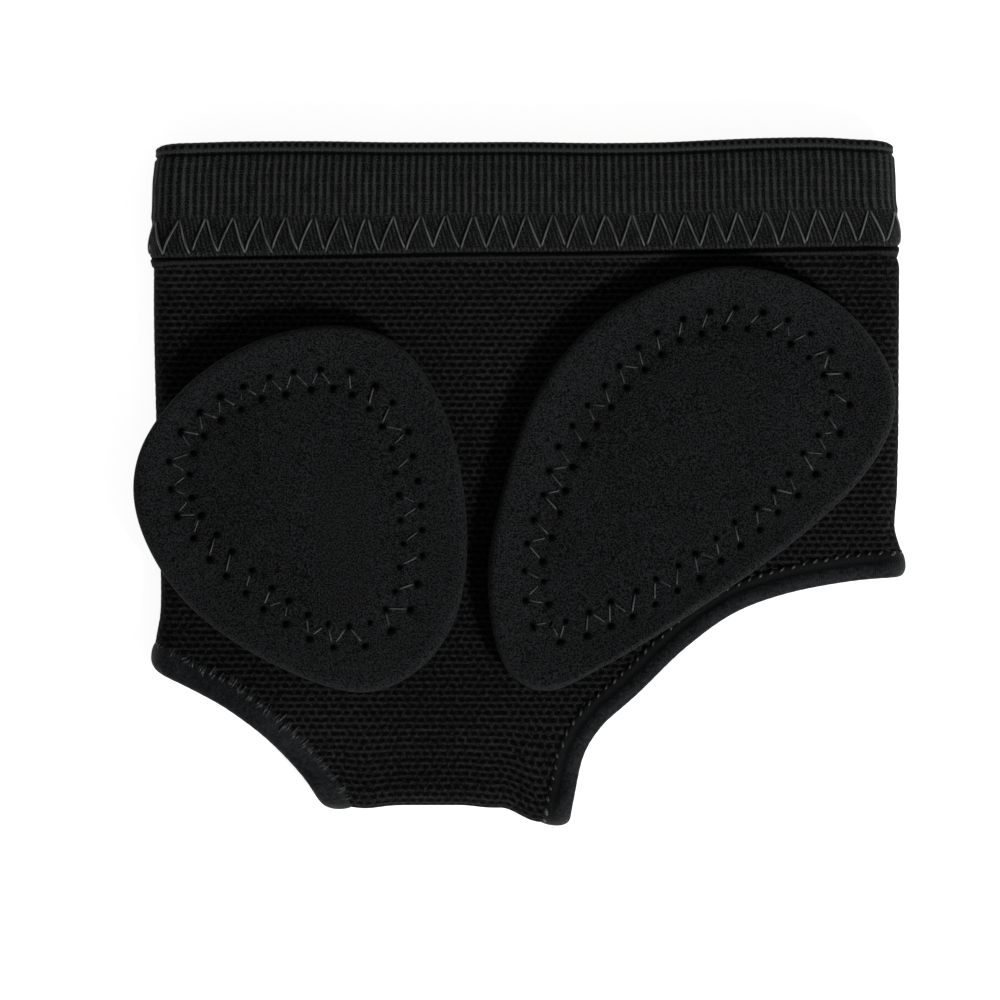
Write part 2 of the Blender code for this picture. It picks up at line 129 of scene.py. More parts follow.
def studio_light():
    """A square lamp that faces the object, and a pale even sky."""
    direction = np.array(KEY_DIRECTION) / np.linalg.norm(KEY_DIRECTION)
    lamp = bpy.data.lights.new("key", 'AREA')
    lamp.size = KEY_SIZE
    lamp.energy = KEY_POWER
    key = bpy.data.objects.new("key", lamp)
    key.location = direction * KEY_DISTANCE
    key.rotation_mode = 'QUATERNION'
    key.rotation_quaternion = Vector(direction).to_track_quat('Z', 'Y')
    bpy.context.scene.collection.objects.link(key)
    world = bpy.data.worlds.new("sky")
    world.use_nodes = True
    world.node_tree.nodes["Background"].inputs["Color"].default_value = (0.97, 0.985, 1.0, 1.0)
    world.node_tree.nodes["Background"].inputs["Strength"].default_value = SKY_STRENGTH
    bpy.context.scene.world = world


light_table()
studio_light()
bpy.context.scene.view_settings.view_transform = 'Standard'
print("floor glow", FLOOR_GLOW, "sky", SKY_STRENGTH)

# %% [markdown]
# ## Shader maths as Python
#
# A weave is arithmetic on two coordinates, and arithmetic in nodes is hard to read. So one
# small class wraps a socket, and an expression on it adds the Math nodes: `1.0 - mask` works
# as it does on numbers. Any other node comes from its method `node`.

# %% One class for sockets


class Wire:
    """A socket of one material, with the operators that the weaves use."""

    def __init__(self, tree, socket):
        self.tree, self.socket = tree, socket

    def node(self, kind, settings, sockets, out=0):
        """A node of any type: its settings first, then the values or links of its sockets."""
        made = self.tree.nodes.new(kind)
        for name, value in settings.items():
            setattr(made, name, value)
        for key, value in sockets.items():
            if isinstance(value, Wire):
                self.tree.links.new(value.socket, made.inputs[key])
            else:
                made.inputs[key].default_value = value
        return Wire(self.tree, made.outputs[out])

    def maths(self, operation, *others):
        """A Math node with this wire first."""
        return self.node('ShaderNodeMath', {"operation": operation}, dict(enumerate((self, *others))))

    def __add__(self, other):
        return self.maths('ADD', other)

    __radd__ = __add__

    def __mul__(self, other):
        return self.maths('MULTIPLY', other)

    __rmul__ = __mul__

    def __sub__(self, other):
        return self.maths('SUBTRACT', other)

    def __rsub__(self, other):
        return (self * -1.0) + other

    def __truediv__(self, other):
        return self.maths('DIVIDE', other)

    def __pow__(self, other):
        return self.maths('POWER', other)

    def clamped(self):
        """The value held between 0 and 1."""
        return self.maths('MINIMUM', 1.0).maths('MAXIMUM', 0.0)

    def ramp(self, low, high):
        """Rises smoothly from 0 to 1 as the value goes from low to high."""
        return self.node('ShaderNodeMapRange', {"interpolation_type": 'SMOOTHSTEP'},
                         {"Value": self, "From Min": low, "From Max": high})

    def cosine(self, period):
        """1 at whole multiples of the period, -1 half way between them."""
        return (self * (2.0 * np.pi / period)).maths('COSINE')

    def from_middle(self, period):
        """Distance to the nearest multiple of the period, as a share of it from 0 to a half."""
        return (self / period + 0.5).maths('FRACT').maths('SUBTRACT', 0.5).maths('ABSOLUTE')

    def along_and_across(self):
        """The first two numbers of a vector, as two wires."""
        along = self.node('ShaderNodeSeparateXYZ', {}, {0: self})
        return along, Wire(self.tree, along.socket.node.outputs["Y"])


def colour_mix(share, first, second):
    """Colour that goes from first to second with share."""
    return share.node('ShaderNodeMix', {"data_type": 'RGBA'}, {0: share, 6: first, 7: second}, out=2)


def noise(place, scale, detail, roughness=0.5):
    """Noise from 0 to 1 read at a place in metres or in pattern millimetres."""
    return place.node('ShaderNodeTexNoise', {}, {"Vector": place, "Scale": scale, "Detail": detail,
                                                 "Roughness": roughness})


print("socket class ready")

# %% [markdown]
# Every finish starts the same way: a Principled shader with its constants set on its own
# sockets, and two wires to draw on. One is the piece's own pattern map, in millimetres along
# and across the cloth. The other is the place on the object.

# %% Start a finish


def new_finish(name, roughness, specular, sheen=0.0, sheen_roughness=0.5):
    """A material and its shader, with wires for the pattern map and the object's place."""
    material = bpy.data.materials.new(name)
    material.use_nodes = True
    tree = material.node_tree
    shader = tree.nodes["Principled BSDF"]
    shader.inputs["Roughness"].default_value = roughness
    shader.inputs["Specular IOR Level"].default_value = specular
    shader.inputs["Sheen Weight"].default_value = sheen
    shader.inputs["Sheen Roughness"].default_value = sheen_roughness
    pattern = tree.nodes.new('ShaderNodeUVMap')
    pattern.uv_map = "pattern"
    place = tree.nodes.new('ShaderNodeTexCoord')
    return material, shader, Wire(tree, pattern.outputs["UV"]), Wire(tree, place.outputs["Object"])


def finish_with(shader, colour, height, strength, distance):
    """Link a colour, and a height through a Bump node, to the shader."""
    bump = height.node('ShaderNodeBump', {}, {"Height": height, "Strength": strength, "Distance": distance})
    colour.tree.links.new(colour.socket, shader.inputs["Base Color"])
    height.tree.links.new(bump.socket, shader.inputs["Normal"])


def grey(value, cool=1.06):
    """A neutral black or grey, a little cool."""
    return (value, value * (1.0 + (cool - 1.0) * 0.5), value * cool, 1.0)


print("finish helpers ready")

# %% [markdown]
# ## The shape of the sleeve
#
# The sleeve is sewn from one knitted tube, so its shape is a flat pattern that is bent round
# two side folds and round the fold of the strap between the toes. The functions below follow
# the construction's own and give the middle of the wall at any point of the pattern. Working
# from them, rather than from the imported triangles, lets every later piece sit exactly on the
# cloth at any fineness, and lets the outline be drawn a few tenths of a millimetre closer to
# the real one. All of it is in millimetres, with x = 0 in the middle of the sleeve and y = 0
# at the lower edge of the band.

# %% Sizes of the sleeve, the band, the hems and the pads
SLEEVE_WIDTH = 99.0
SLEEVE_WALL = 1.0
SIDE_FOLD_RADIUS = 2.3
HOLLOW_HEIGHT = 5.5
MOUTH_HEIGHT = 4.8
LEFT_SIDE_LENGTH = 52.1
RIGHT_SIDE_LENGTH = 40.1
SLEEVE_TUCK = 5.4
TUCK_SLOPE = 5.0
STRAP_DEPTH = 73.8
STRAP_WIDTH = 25.4
STRAP_SHIFT = -10.8
STRAP_FOLD_RADIUS = 2.6
STRAP_TAPER = 9.5
STRAP_DROOP = 1.9
TOE_ARCH = 1.1
BAND_WIDTH = 14.7
BAND_THICKNESS = 1.1
BAND_PROUD = 0.5
MOUTH_DROP = 0.7
HEM_WIDTH = 3.0
HEM_THICKNESS = 1.8
PAD_THICKNESS = 3.2
PAD_EDGE_LIFT = 0.4
CLEARANCE = 0.3

# What is added to the construction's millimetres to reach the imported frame.
sleeve_low, sleeve_high = (np.array(corner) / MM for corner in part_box("knitted_sleeve"))
ORIGIN = np.array([(sleeve_low[0] + sleeve_high[0]) / 2, sleeve_high[1] - SLEEVE_TUCK, 0.0])
print("sleeve in the frame, mm", sleeve_low.round(2), sleeve_high.round(2), "origin", ORIGIN.round(2))

# %% [markdown]
# An outline is a short table of shares, and a smooth curve through its rows.
# The side folds, the two cuts, and the band's edges and ends each have one.

# %% Tables of shares


def table(columns, *rows):
    """A short table whose columns have names, one row to a line."""
    return np.array(list(rows), dtype=[(name, float) for name in columns.split()])


SIDE_ROWS = table(
    "down left right",
    (0.00, 1.003, 1.003), (0.15, 1.004, 1.003), (0.35, 1.000, 1.002), (0.60, 0.992, 1.001),
    (0.80, 0.986, 0.997), (0.92, 0.986, 0.991), (1.00, 1.000, 1.009))
SMALL_CUT_ROWS = table(
    "across down",
    (0.000, 0.000), (0.277, 0.157), (0.476, 0.292), (0.685, 0.485), (0.884, 0.740), (1.013, 1.000))
LARGE_CUT_ROWS = table(
    "across down",
    (0.000, 0.000), (0.167, 0.020), (0.353, 0.071), (0.509, 0.155), (0.651, 0.299),
    (0.781, 0.475), (0.882, 0.602), (0.945, 0.718), (0.976, 0.870), (0.993, 1.000))
BAND_EDGE_ROWS = table(
    "across top low",
    (-1.00, -0.020, -0.058), (-0.85, -0.006, -0.047), (-0.60, -0.004, -0.036), (-0.40, -0.013, -0.025),
    (-0.20, -0.013, -0.014), (0.00, -0.011, -0.009), (0.20, -0.020, -0.004), (0.40, -0.014, 0.007),
    (0.55, 0.006, 0.018), (0.70, 0.025, 0.028), (0.88, 0.031, 0.038), (1.00, 0.011, 0.045))
BAND_SIDE_ROWS = table(
    "down left right",
    (0.00, 0.986, 0.974), (0.16, 0.990, 0.978), (0.32, 0.995, 0.981), (0.56, 0.997, 0.983),
    (0.72, 1.001, 0.991), (0.88, 1.006, 0.994), (1.00, 1.004, 0.992))
print("tables of", len(SIDE_ROWS), len(SMALL_CUT_ROWS), len(LARGE_CUT_ROWS), "rows")

# %% Curves through tables


def smoothstep(share):
    """Rises from 0 to 1 with no slope at either end: 3 s^2 - 2 s^3."""
    share = np.clip(share, 0.0, 1.0)
    return share * share * (3.0 - 2.0 * share)


def curve_through(points, places, closed=False):
    """Smooth curve through points: a cubic whose slope at each point is half the way from the
    point before to the point after. Places are counted in points from the first one."""
    points = np.asarray(points, dtype=float)
    last = len(points) if closed else len(points) - 1
    start = np.clip(np.floor(places).astype(int), 0, last - 1)
    part = (np.asarray(places, dtype=float) - start)[:, None]
    if closed:
        before, here, after, beyond = (points[(start + step) % last] for step in (-1, 0, 1, 2))
    else:
        first, end = 2.0 * points[:1] - points[1:2], 2.0 * points[-1:] - points[-2:-1]
        padded = np.vstack((first, points, end))
        before, here, after, beyond = (padded[start + step] for step in (0, 1, 2, 3))
    slope = (after - before) / 2.0
    next_slope = (beyond - here) / 2.0
    rise = after - here
    return here + part * (slope + part * ((3.0 * rise - 2.0 * slope - next_slope)
                                          + part * (slope + next_slope - 2.0 * rise)))


def run_of(points):
    """Length along a line of points, from 0 at the first one."""
    return np.concatenate(([0.0], np.cumsum(np.linalg.norm(np.diff(points, axis=0), axis=1))))


def read_line(wanted, run, points, period=None):
    """Points of a line, read straight between its own points at wanted lengths along it. A
    period closes the line."""
    return np.stack([np.interp(wanted, run, column, period=period) for column in points.T], axis=-1)


def along_curve(points, shares, closed=False, fine=800):
    """The same curve, read at shares of its length."""
    last = len(points) if closed else len(points) - 1
    dense = curve_through(points, np.linspace(0.0, last, fine), closed)
    run = run_of(dense)
    return read_line(np.asarray(shares) * run[-1], run, dense)


def read_table(rows, key, column, place):
    """One column of a table, read smoothly at a place along its key column."""
    position = np.interp(place, rows[key], np.arange(len(rows)))
    values = curve_through(rows[column][:, None], np.ravel(position))[:, 0]
    return values.reshape(np.shape(position))


def unit(vectors):
    """Vectors of length 1."""
    return vectors / np.linalg.norm(vectors, axis=-1, keepdims=True)


print("curves ready")

# %% [markdown]
# Cloth bends without stretching. So past a fold's line, the way along the flat pattern turns
# into an angle, and a step on the pattern stays a step on the cloth. That keeps the knit even
# right round the folds, which a box that is squashed flat would not.

# %% The bent pattern


def tuck(y):
    """1 where the sleeve is inside the band, 0 below the slope that leads into it."""
    low_edge = BAND_WIDTH * BAND_EDGE_ROWS["low"].min() - CLEARANCE
    return smoothstep((y - low_edge + TUCK_SLOPE) / TUCK_SLOPE)


def drawn_in(x, y):
    """1 where the side fold is held inside the band, 0 from the band's lower edge down."""
    low_edge = BAND_WIDTH * np.where(x < 0, BAND_EDGE_ROWS["low"][0], BAND_EDGE_ROWS["low"][-1])
    return smoothstep((y - low_edge + 0.15) / 0.8)


def gathered(x, y):
    """How far the knit stands out at its side folds just below the band, mm: its sewn edge
    bulges a little on the left, and the thread draws it in on the right."""
    bulge = 0.48 * smoothstep((y + 2.2) / 0.7)
    waist = -0.34 * np.exp(-((y + 0.85) / 0.6) ** 2)
    return np.where(x < 0, bulge, waist)


def band_side(x, down):
    """Outside of the band at its side, from the middle of the sleeve."""
    left = read_table(BAND_SIDE_ROWS, "down", "left", down)
    right = read_table(BAND_SIDE_ROWS, "down", "right", down)
    return (SLEEVE_WIDTH / 2 + BAND_PROUD) * np.where(x < 0, left, right)


def half_width(x, y):
    """Middle of the wall at the side fold: the table's width and its gathers, drawn in under
    the band."""
    left = read_table(SIDE_ROWS, "down", "left", -y / LEFT_SIDE_LENGTH)
    right = read_table(SIDE_ROWS, "down", "right", -y / RIGHT_SIDE_LENGTH)
    free = SLEEVE_WIDTH / 2 * np.where(x < 0, left, right) + gathered(x, y)
    held = band_side(x, 1.0 - y / BAND_WIDTH) - BAND_THICKNESS - CLEARANCE
    return free + (held - free) * drawn_in(x, y) - SLEEVE_WALL / 2


def side_line(x, y):
    """Distance of the side fold's middle line in the flat pattern: a quarter circle's arc
    beyond the flat part, so the fold's width plus (pi / 2 - 1) radii."""
    return half_width(x, y) + (np.pi / 2 - 1.0) * SIDE_FOLD_RADIUS


STRAP_START = -(STRAP_DEPTH - SLEEVE_WALL / 2 - STRAP_FOLD_RADIUS)
STRAP_LINE = STRAP_START - np.pi / 2 * STRAP_FOLD_RADIUS


def cut_points(rows, corner_y, side):
    """Points of a cut edge in the flat pattern, from the side fold to the strap's fold."""
    corner_x = side * side_line(side, corner_y)
    end_x = STRAP_SHIFT + side * STRAP_WIDTH / 2
    return np.column_stack((corner_x + (end_x - corner_x) * rows["across"],
                            corner_y + (STRAP_LINE - corner_y) * rows["down"]))


SMALL_CUT = cut_points(SMALL_CUT_ROWS, -LEFT_SIDE_LENGTH, -1.0)
LARGE_CUT = cut_points(LARGE_CUT_ROWS, -RIGHT_SIDE_LENGTH, 1.0)
CUT_MIDDLES = [(along_curve(cut, [0.5])[0], np.hypot(*(cut[-1] - cut[0])) * 0.3)
               for cut in (SMALL_CUT, LARGE_CUT)]


def back_height(y):
    """Middle of the back sheet's wall: on the floor, or on the band inside the mouth."""
    return SLEEVE_WALL / 2 + tuck(y) * (BAND_THICKNESS + CLEARANCE)


def crown(across):
    """1 over most of the width, and down to 0 at the side folds: 1 less the smooth step of the
    fourth power of the share of the width."""
    return 1.0 - smoothstep(np.abs(across) ** 4)


def strap_taper(y):
    """0 over the sleeve, and up to 1 where the strap's fold begins."""
    return smoothstep((STRAP_START + STRAP_TAPER - y) / STRAP_TAPER)


def front_height(x, y):
    """Middle of the front sheet's wall: the back sheet, the hollow over it, a low rise over
    each toe opening, and all of it tapered down to the strap's fold."""
    back = back_height(y)
    hollow = HOLLOW_HEIGHT + tuck(y) * (MOUTH_HEIGHT - HOLLOW_HEIGHT)
    side = back + 2.0 * SIDE_FOLD_RADIUS
    middle = back + SLEEVE_WALL + hollow
    height = side + (middle - side) * crown(x / (half_width(x, y) - SIDE_FOLD_RADIUS))
    for centre, radius in CUT_MIDDLES:
        away = ((x - centre[0]) ** 2 + (y - centre[1]) ** 2) / radius ** 2
        height = height + TOE_ARCH * np.exp(-away)
    fold_height = back + 2.0 * STRAP_FOLD_RADIUS
    return height + (fold_height - height) * strap_taper(y)


def strap_droop(x, y):
    """How far the strap's fold hangs lower, mm: in two smooth steps towards its right end, and
    by a small bell just inside its left one."""
    across = (x - STRAP_SHIFT) / (STRAP_WIDTH / 2)
    right = 0.35 * smoothstep((across - 0.15) / 0.35) + STRAP_DROOP * smoothstep((across - 0.58) / 0.42)
    left = 0.42 * np.exp(-((across + 0.84) / 0.2) ** 2)
    return (right + left) * strap_taper(y)


def bend(pattern, front):
    """The middle of the wall at points of the flat pattern: past the flat part, the way along
    the pattern becomes an angle round the side fold or round the strap's fold."""
    x, y = pattern[..., 0], pattern[..., 1]
    reach = half_width(x, y) - SIDE_FOLD_RADIUS
    side_angle = np.maximum(np.abs(x) - reach, 0.0) / SIDE_FOLD_RADIUS
    strap_angle = np.maximum(STRAP_START - y, 0.0) / STRAP_FOLD_RADIUS
    bent_x = np.sign(x) * (np.minimum(np.abs(x), reach) + SIDE_FOLD_RADIUS * np.sin(side_angle))
    bent_y = np.maximum(y, STRAP_START) - STRAP_FOLD_RADIUS * np.sin(strap_angle)
    back = back_height(bent_y)
    high = front_height(bent_x, np.maximum(bent_y, STRAP_START))
    half = (high - back) / 2.0 * np.cos(side_angle) * np.cos(strap_angle)
    height = (high + back) / 2.0 + (half if front else -half)
    return np.stack((bent_x, bent_y - strap_droop(bent_x, bent_y), height), axis=-1)


def out_of_sleeve(pattern, front):
    """Direction out of the sleeve: the cross product of two tiny steps along the pattern."""
    tiny = 0.01
    by_x = bend(pattern + [tiny, 0.0], front) - bend(pattern - [tiny, 0.0], front)
    by_y = bend(pattern + [0.0, tiny], front) - bend(pattern - [0.0, tiny], front)
    return unit(np.cross(by_x, by_y) * (1.0 if front else -1.0))


print("strap fold line at y", round(STRAP_LINE, 2), "mm")

# %% [markdown]
# ## From arrays to a piece
#
# All pieces are made the same way: an array of points in millimetres, an array of faces, and
# for each face corner its place on the cloth. One helper turns them into an object at the
# origin. Another gives the faces of a grid, which may close on itself both ways.


def build_piece(name, points, faces, material, replaced, corner_uv=None, attributes=None,
                recalculate=False):
    """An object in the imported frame, riding on the root body. Where recalculate is set, the
    faces of a closed piece are turned to point outwards."""
    mesh = bpy.data.meshes.new(name)
    points = (np.reshape(points, (-1, 3)) + ORIGIN) * MM
    mesh.from_pydata(points.tolist(), [], faces if isinstance(faces, list) else faces.tolist())
    if corner_uv is not None:
        layer = mesh.uv_layers.new(name="pattern")
        layer.data.foreach_set("uv", np.asarray(corner_uv, dtype=np.float32).ravel())
    for key, values in (attributes or {}).items():
        mesh.attributes.new(key, 'FLOAT', 'POINT').data.foreach_set("value", values.astype(np.float32))
    if recalculate:
        held = bmesh.new()
        held.from_mesh(mesh)
        bmesh.ops.recalc_face_normals(held, faces=held.faces)
        held.to_mesh(mesh)
        held.free()
    mesh.shade_smooth()
    mesh.materials.append(material)
    piece = bpy.data.objects.new(name, mesh)
    bpy.context.scene.collection.objects.link(piece)
    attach(piece, "root")
    if replaced:
        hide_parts(*replaced)
    mesh.calc_loop_triangles()
    print(name, len(mesh.vertices), "points", len(mesh.loop_triangles), "triangles")


def grid_faces(rows, columns, close_rows=False, close_columns=False):
    """Quads of a grid as point numbers, and the same corners numbered without the wrap."""
    row_end, column_end = rows - (not close_rows), columns - (not close_columns)
    row, column = np.meshgrid(np.arange(row_end), np.arange(column_end), indexing="ij")
    corner_rows = np.stack((row, row + 1, row + 1, row), axis=-1).reshape(-1, 4)
    corner_columns = np.stack((column, column, column + 1, column + 1), axis=-1).reshape(-1, 4)
    faces = (corner_rows % rows) * columns + corner_columns % columns
    return faces, corner_rows, corner_columns


print("piece builder ready")

# %% [markdown]
# ## The knit
#
# The sleeve is a warp knit with rows of small holes: each row is shifted half a hole against
# the next, and between the rows the yarns run together into thin wavy lines. A bump texture
# alone would look flat at the side folds, where the light grazes the cloth. So the wall's
# outer face is a grid whose points fall on the knit itself: two rows of points to a row of
# holes, three columns to a hole, with the odd rows shifted. A dent of an eighth of a
# millimetre at each hole is then true relief, and under 200,000 triangles are enough for all
# of it. Just below the band the sewn-in edge makes a low round swelling.

# %% Knit relief
KNIT_HOLE_PITCH = 1.17
COLUMNS_PER_HOLE = 3
ROWS_PER_COURSE = 2
HOLE_DEPTH = 0.13
YARN_RISE = 0.03
ROW_SPACING = 0.45        # wanted; the length of the pattern is divided into whole rows
INNER_ROW_STEP = 4
EDGE_IN_HEM = 0.85        # how far the cut edge runs on, into the rolled hem
SEAM_RISE = 0.26          # height of the swelling over the sewn-in edge
SEAM_DROP = 0.72          # how far below the band it lies
SEAM_SPREAD = 0.34

row_total = SLEEVE_TUCK - STRAP_LINE
ROW_COUNT = int(round(row_total / ROW_SPACING / INNER_ROW_STEP)) * INNER_ROW_STEP
ROW_STEP = row_total / ROW_COUNT
KNIT_COURSE = ROW_STEP * ROWS_PER_COURSE
print("rows", ROW_COUNT, "course", round(KNIT_COURSE, 3), "mm")


def knit_relief(x, y):
    """Height of the yarns: down by HOLE_DEPTH at each hole, whose shape is a bell of a quarter
    of the pitch, and up by YARN_RISE between the rows of holes. Flatter at the side folds. The
    swelling below the band is a bell too, and ends at the folds."""
    course = (SLEEVE_TUCK - y) / KNIT_COURSE
    row = np.round(course)
    along = x / KNIT_HOLE_PITCH + 0.5 * (row % 2)
    from_hole = along - np.round(along)
    from_row = course - row
    bell = np.exp(-(from_hole / 0.24) ** 2 - (from_row / 0.28) ** 2)
    relief = YARN_RISE * (1.0 - np.cos(2.0 * np.pi * from_row)) / 2.0 - HOLE_DEPTH * bell
    at_fold = smoothstep((np.abs(x) - half_width(x, y) + 4.0) / 4.0)
    seam = np.exp(-((below_band(x, y) - SEAM_DROP) / SEAM_SPREAD) ** 2)
    return relief * (1.0 - 0.75 * at_fold) * (1.0 - seam) + SEAM_RISE * seam * (1.0 - at_fold)


def below_band(x, y):
    """Distance below the band's lower edge, mm."""
    across = np.clip(2.0 * x / SLEEVE_WIDTH, -1.0, 1.0)
    return BAND_WIDTH * read_table(BAND_EDGE_ROWS, "across", "low", across) - y


# %% Sleeve grid


def sheet_rows(step):
    """Heights of the rows of points in the pattern, from the mouth to the strap's fold."""
    return SLEEVE_TUCK - ROW_STEP * np.arange(0, ROW_COUNT + 1, step)


def row_ends(y, cut, corner_y, side):
    """Where each row ends: on the side fold's line, or below the corner a little past the cut
    line, inside the hem."""
    dense = along_curve(cut, np.linspace(0.0, 1.0, 2000))
    step = np.gradient(dense, axis=0)
    dense = dense + side * unit(np.column_stack((-step[:, 1], step[:, 0]))) * EDGE_IN_HEM
    on_cut = np.interp(-y, -dense[:, 1], dense[:, 0])
    on_cut = side * np.minimum(side * on_cut, side_line(side, y))
    return np.where(y >= corner_y, side * side_line(side, y), on_cut)


def clamped_sheet(step, column_step):
    """Pattern points of one sheet. Every row has all columns, but those past its end are
    numbered as the end itself, so a quad there shrinks to a triangle or to nothing."""
    y = sheet_rows(step)
    left = row_ends(y, SMALL_CUT, -LEFT_SIDE_LENGTH, -1.0)
    right = row_ends(y, LARGE_CUT, -RIGHT_SIDE_LENGTH, 1.0)
    half_count = int(np.ceil(SLEEVE_WIDTH * 0.52 / column_step))
    number = np.arange(-half_count, half_count + 1)
    course_part = np.arange(0, ROW_COUNT + 1, step) % (2 * ROWS_PER_COURSE)
    shift = 0.5 * (1.0 - np.abs(course_part / ROWS_PER_COURSE - 1.0)) * KNIT_HOLE_PITCH
    shift = shift % column_step if column_step >= KNIT_HOLE_PITCH else shift
    x = number * column_step + shift[:, None]
    margin = column_step * 0.35
    inside = (x > left[:, None] + margin) & (x < right[:, None] - margin)
    first = inside.argmax(axis=1) - 1
    last = len(number) - inside[:, ::-1].argmax(axis=1)
    column = np.clip(np.arange(len(number)), first[:, None], last[:, None])
    x = np.take_along_axis(x, column, axis=1)
    x = np.where(column == first[:, None], left[:, None], x)
    x = np.where(column == last[:, None], right[:, None], x)
    pattern = np.stack((x, np.broadcast_to(y[:, None], x.shape)), axis=-1)
    return pattern, column, first, last


def clamped_faces(index):
    """Quads of numbered points, as triangles where two corners are the same point."""
    a, b, c, d = (index[:-1, :-1].ravel(), index[1:, :-1].ravel(),
                  index[1:, 1:].ravel(), index[:-1, 1:].ravel())
    top_gone, low_gone = a == d, b == c
    quads = np.stack((a, b, c, d), axis=1)[~top_gone & ~low_gone]
    top_only, low_only = top_gone & ~low_gone, low_gone & ~top_gone
    lower = np.stack((a, b, c), axis=1)[top_only]
    upper = np.stack((a, b, d), axis=1)[low_only]
    return quads.tolist() + lower.tolist() + upper.tolist()


def sleeve_skin(step, column_step, offset, relief):
    """One face of the wall: both sheets, with the points of the folds shared."""
    pattern, column, first, last = clamped_sheet(step, column_step)
    rows, columns = column.shape
    front = np.arange(rows)[:, None] * columns + column
    back = front + rows * columns
    y = pattern[:, 0, 1]
    on_left, on_right = y >= -LEFT_SIDE_LENGTH, y >= -RIGHT_SIDE_LENGTH
    back = np.where((column == first[:, None]) & on_left[:, None], front, back)
    back = np.where((column == last[:, None]) & on_right[:, None], front, back)
    back[-1] = front[-1]
    points = []
    for is_front in (True, False):
        height = offset + (knit_relief(pattern[..., 0], pattern[..., 1]) if relief else 0.0)
        out = out_of_sleeve(pattern, is_front)
        points.append(bend(pattern, is_front) + out * np.broadcast_to(height, out.shape[:2])[..., None])
    return np.concatenate([p.reshape(-1, 3) for p in points]), pattern, front, back, first, last


outer = sleeve_skin(1, KNIT_HOLE_PITCH / COLUMNS_PER_HOLE, SLEEVE_WALL / 2, True)
inner = sleeve_skin(INNER_ROW_STEP, KNIT_HOLE_PITCH, -SLEEVE_WALL / 2, False)
print("outer grid", outer[2].shape, "inner grid", inner[2].shape)

# %% [markdown]
# The inner face of the wall is never seen close, so its grid has a quarter of the rows and a
# third of the columns. At the mouth and along the two cut edges the fine face and the coarse
# one are joined by many-sided faces, each taking several fine points and two coarse ones. The
# hems and the band cover these edges, as they do on the real sleeve.

# %% Close the wall at its edges


def edge_faces(fine, coarse, matches):
    """Faces between a fine edge and a coarse one; matches says where each coarse point is."""
    return [[*fine[start:end + 1].tolist(), coarse[k + 1], coarse[k]]
            for k, (start, end) in enumerate(zip(matches[:-1], matches[1:]))]


def row_edge(fine_index, coarse_index, fine_x, coarse_x):
    """Faces along one row of both faces of the wall, matched by their x."""
    fine, keep = np.unique(fine_index, return_index=True)
    fine, fine_x = fine_index[np.sort(keep)], fine_x[np.sort(keep)]
    coarse, keep = np.unique(coarse_index, return_index=True)
    coarse, coarse_x = coarse_index[np.sort(keep)], coarse_x[np.sort(keep)]
    matches = np.abs(fine_x[:, None] - coarse_x[None]).argmin(axis=0)
    return edge_faces(fine, coarse, matches)


def end_edge(fine_index, coarse_index, start_row, fine_end, coarse_end):
    """Faces down one end of the rows, from a row of the coarse grid to the last one."""
    rows = np.arange(start_row * INNER_ROW_STEP, len(fine_index))
    fine = fine_index[rows, fine_end[rows]]
    coarse_rows = np.arange(start_row, len(coarse_index))
    coarse = coarse_index[coarse_rows, coarse_end[coarse_rows]]
    return edge_faces(fine, coarse, np.arange(len(coarse)) * INNER_ROW_STEP)


def knitted_sleeve_arrays():
    """Points, faces and pattern places of the whole wall."""
    outer_points, outer_pattern, outer_front, outer_back, outer_first, outer_last = outer
    inner_points, inner_pattern, inner_front, inner_back, inner_first, inner_last = inner
    inner_front, inner_back = inner_front + len(outer_points), inner_back + len(outer_points)
    faces = []
    for fine, coarse in ((outer_front, inner_front), (outer_back, inner_back)):
        faces += clamped_faces(fine) + clamped_faces(coarse)
        faces += row_edge(fine[0], coarse[0], outer_pattern[0, :, 0], inner_pattern[0, :, 0])
        for fine_end, coarse_end, length in ((outer_first, inner_first, LEFT_SIDE_LENGTH),
                                             (outer_last, inner_last, RIGHT_SIDE_LENGTH)):
            start = int(np.flatnonzero(inner_pattern[:, 0, 1] >= -length)[-1])
            faces += end_edge(fine, coarse, start, fine_end, coarse_end)
    points = np.concatenate((outer_points, inner_points))
    places = np.concatenate([np.tile(p.reshape(-1, 2), (2, 1)) for p in (outer_pattern, inner_pattern)])
    corners = np.concatenate([np.asarray(face) for face in faces])
    used, numbers = np.unique(corners, return_inverse=True)
    ends = np.cumsum([len(face) for face in faces])[:-1]
    drop = below_band(places[:, 0], places[:, 1])
    return points[used], [part.tolist() for part in np.split(numbers, ends)], places[corners], drop[used]


sleeve_points, sleeve_faces, sleeve_uv, sleeve_drop = knitted_sleeve_arrays()
print("sleeve faces", len(sleeve_faces))

# %% [markdown]
# The yarn is matt and black. Its finish paints the holes' shade into the colour, in the
# pattern of the holes, because at this distance a hole is seen by its shade more than by its
# depth.

# %% Knit finish
SEAM_STITCH = 0.55        # from one stitch of the sewn-in edge to the next


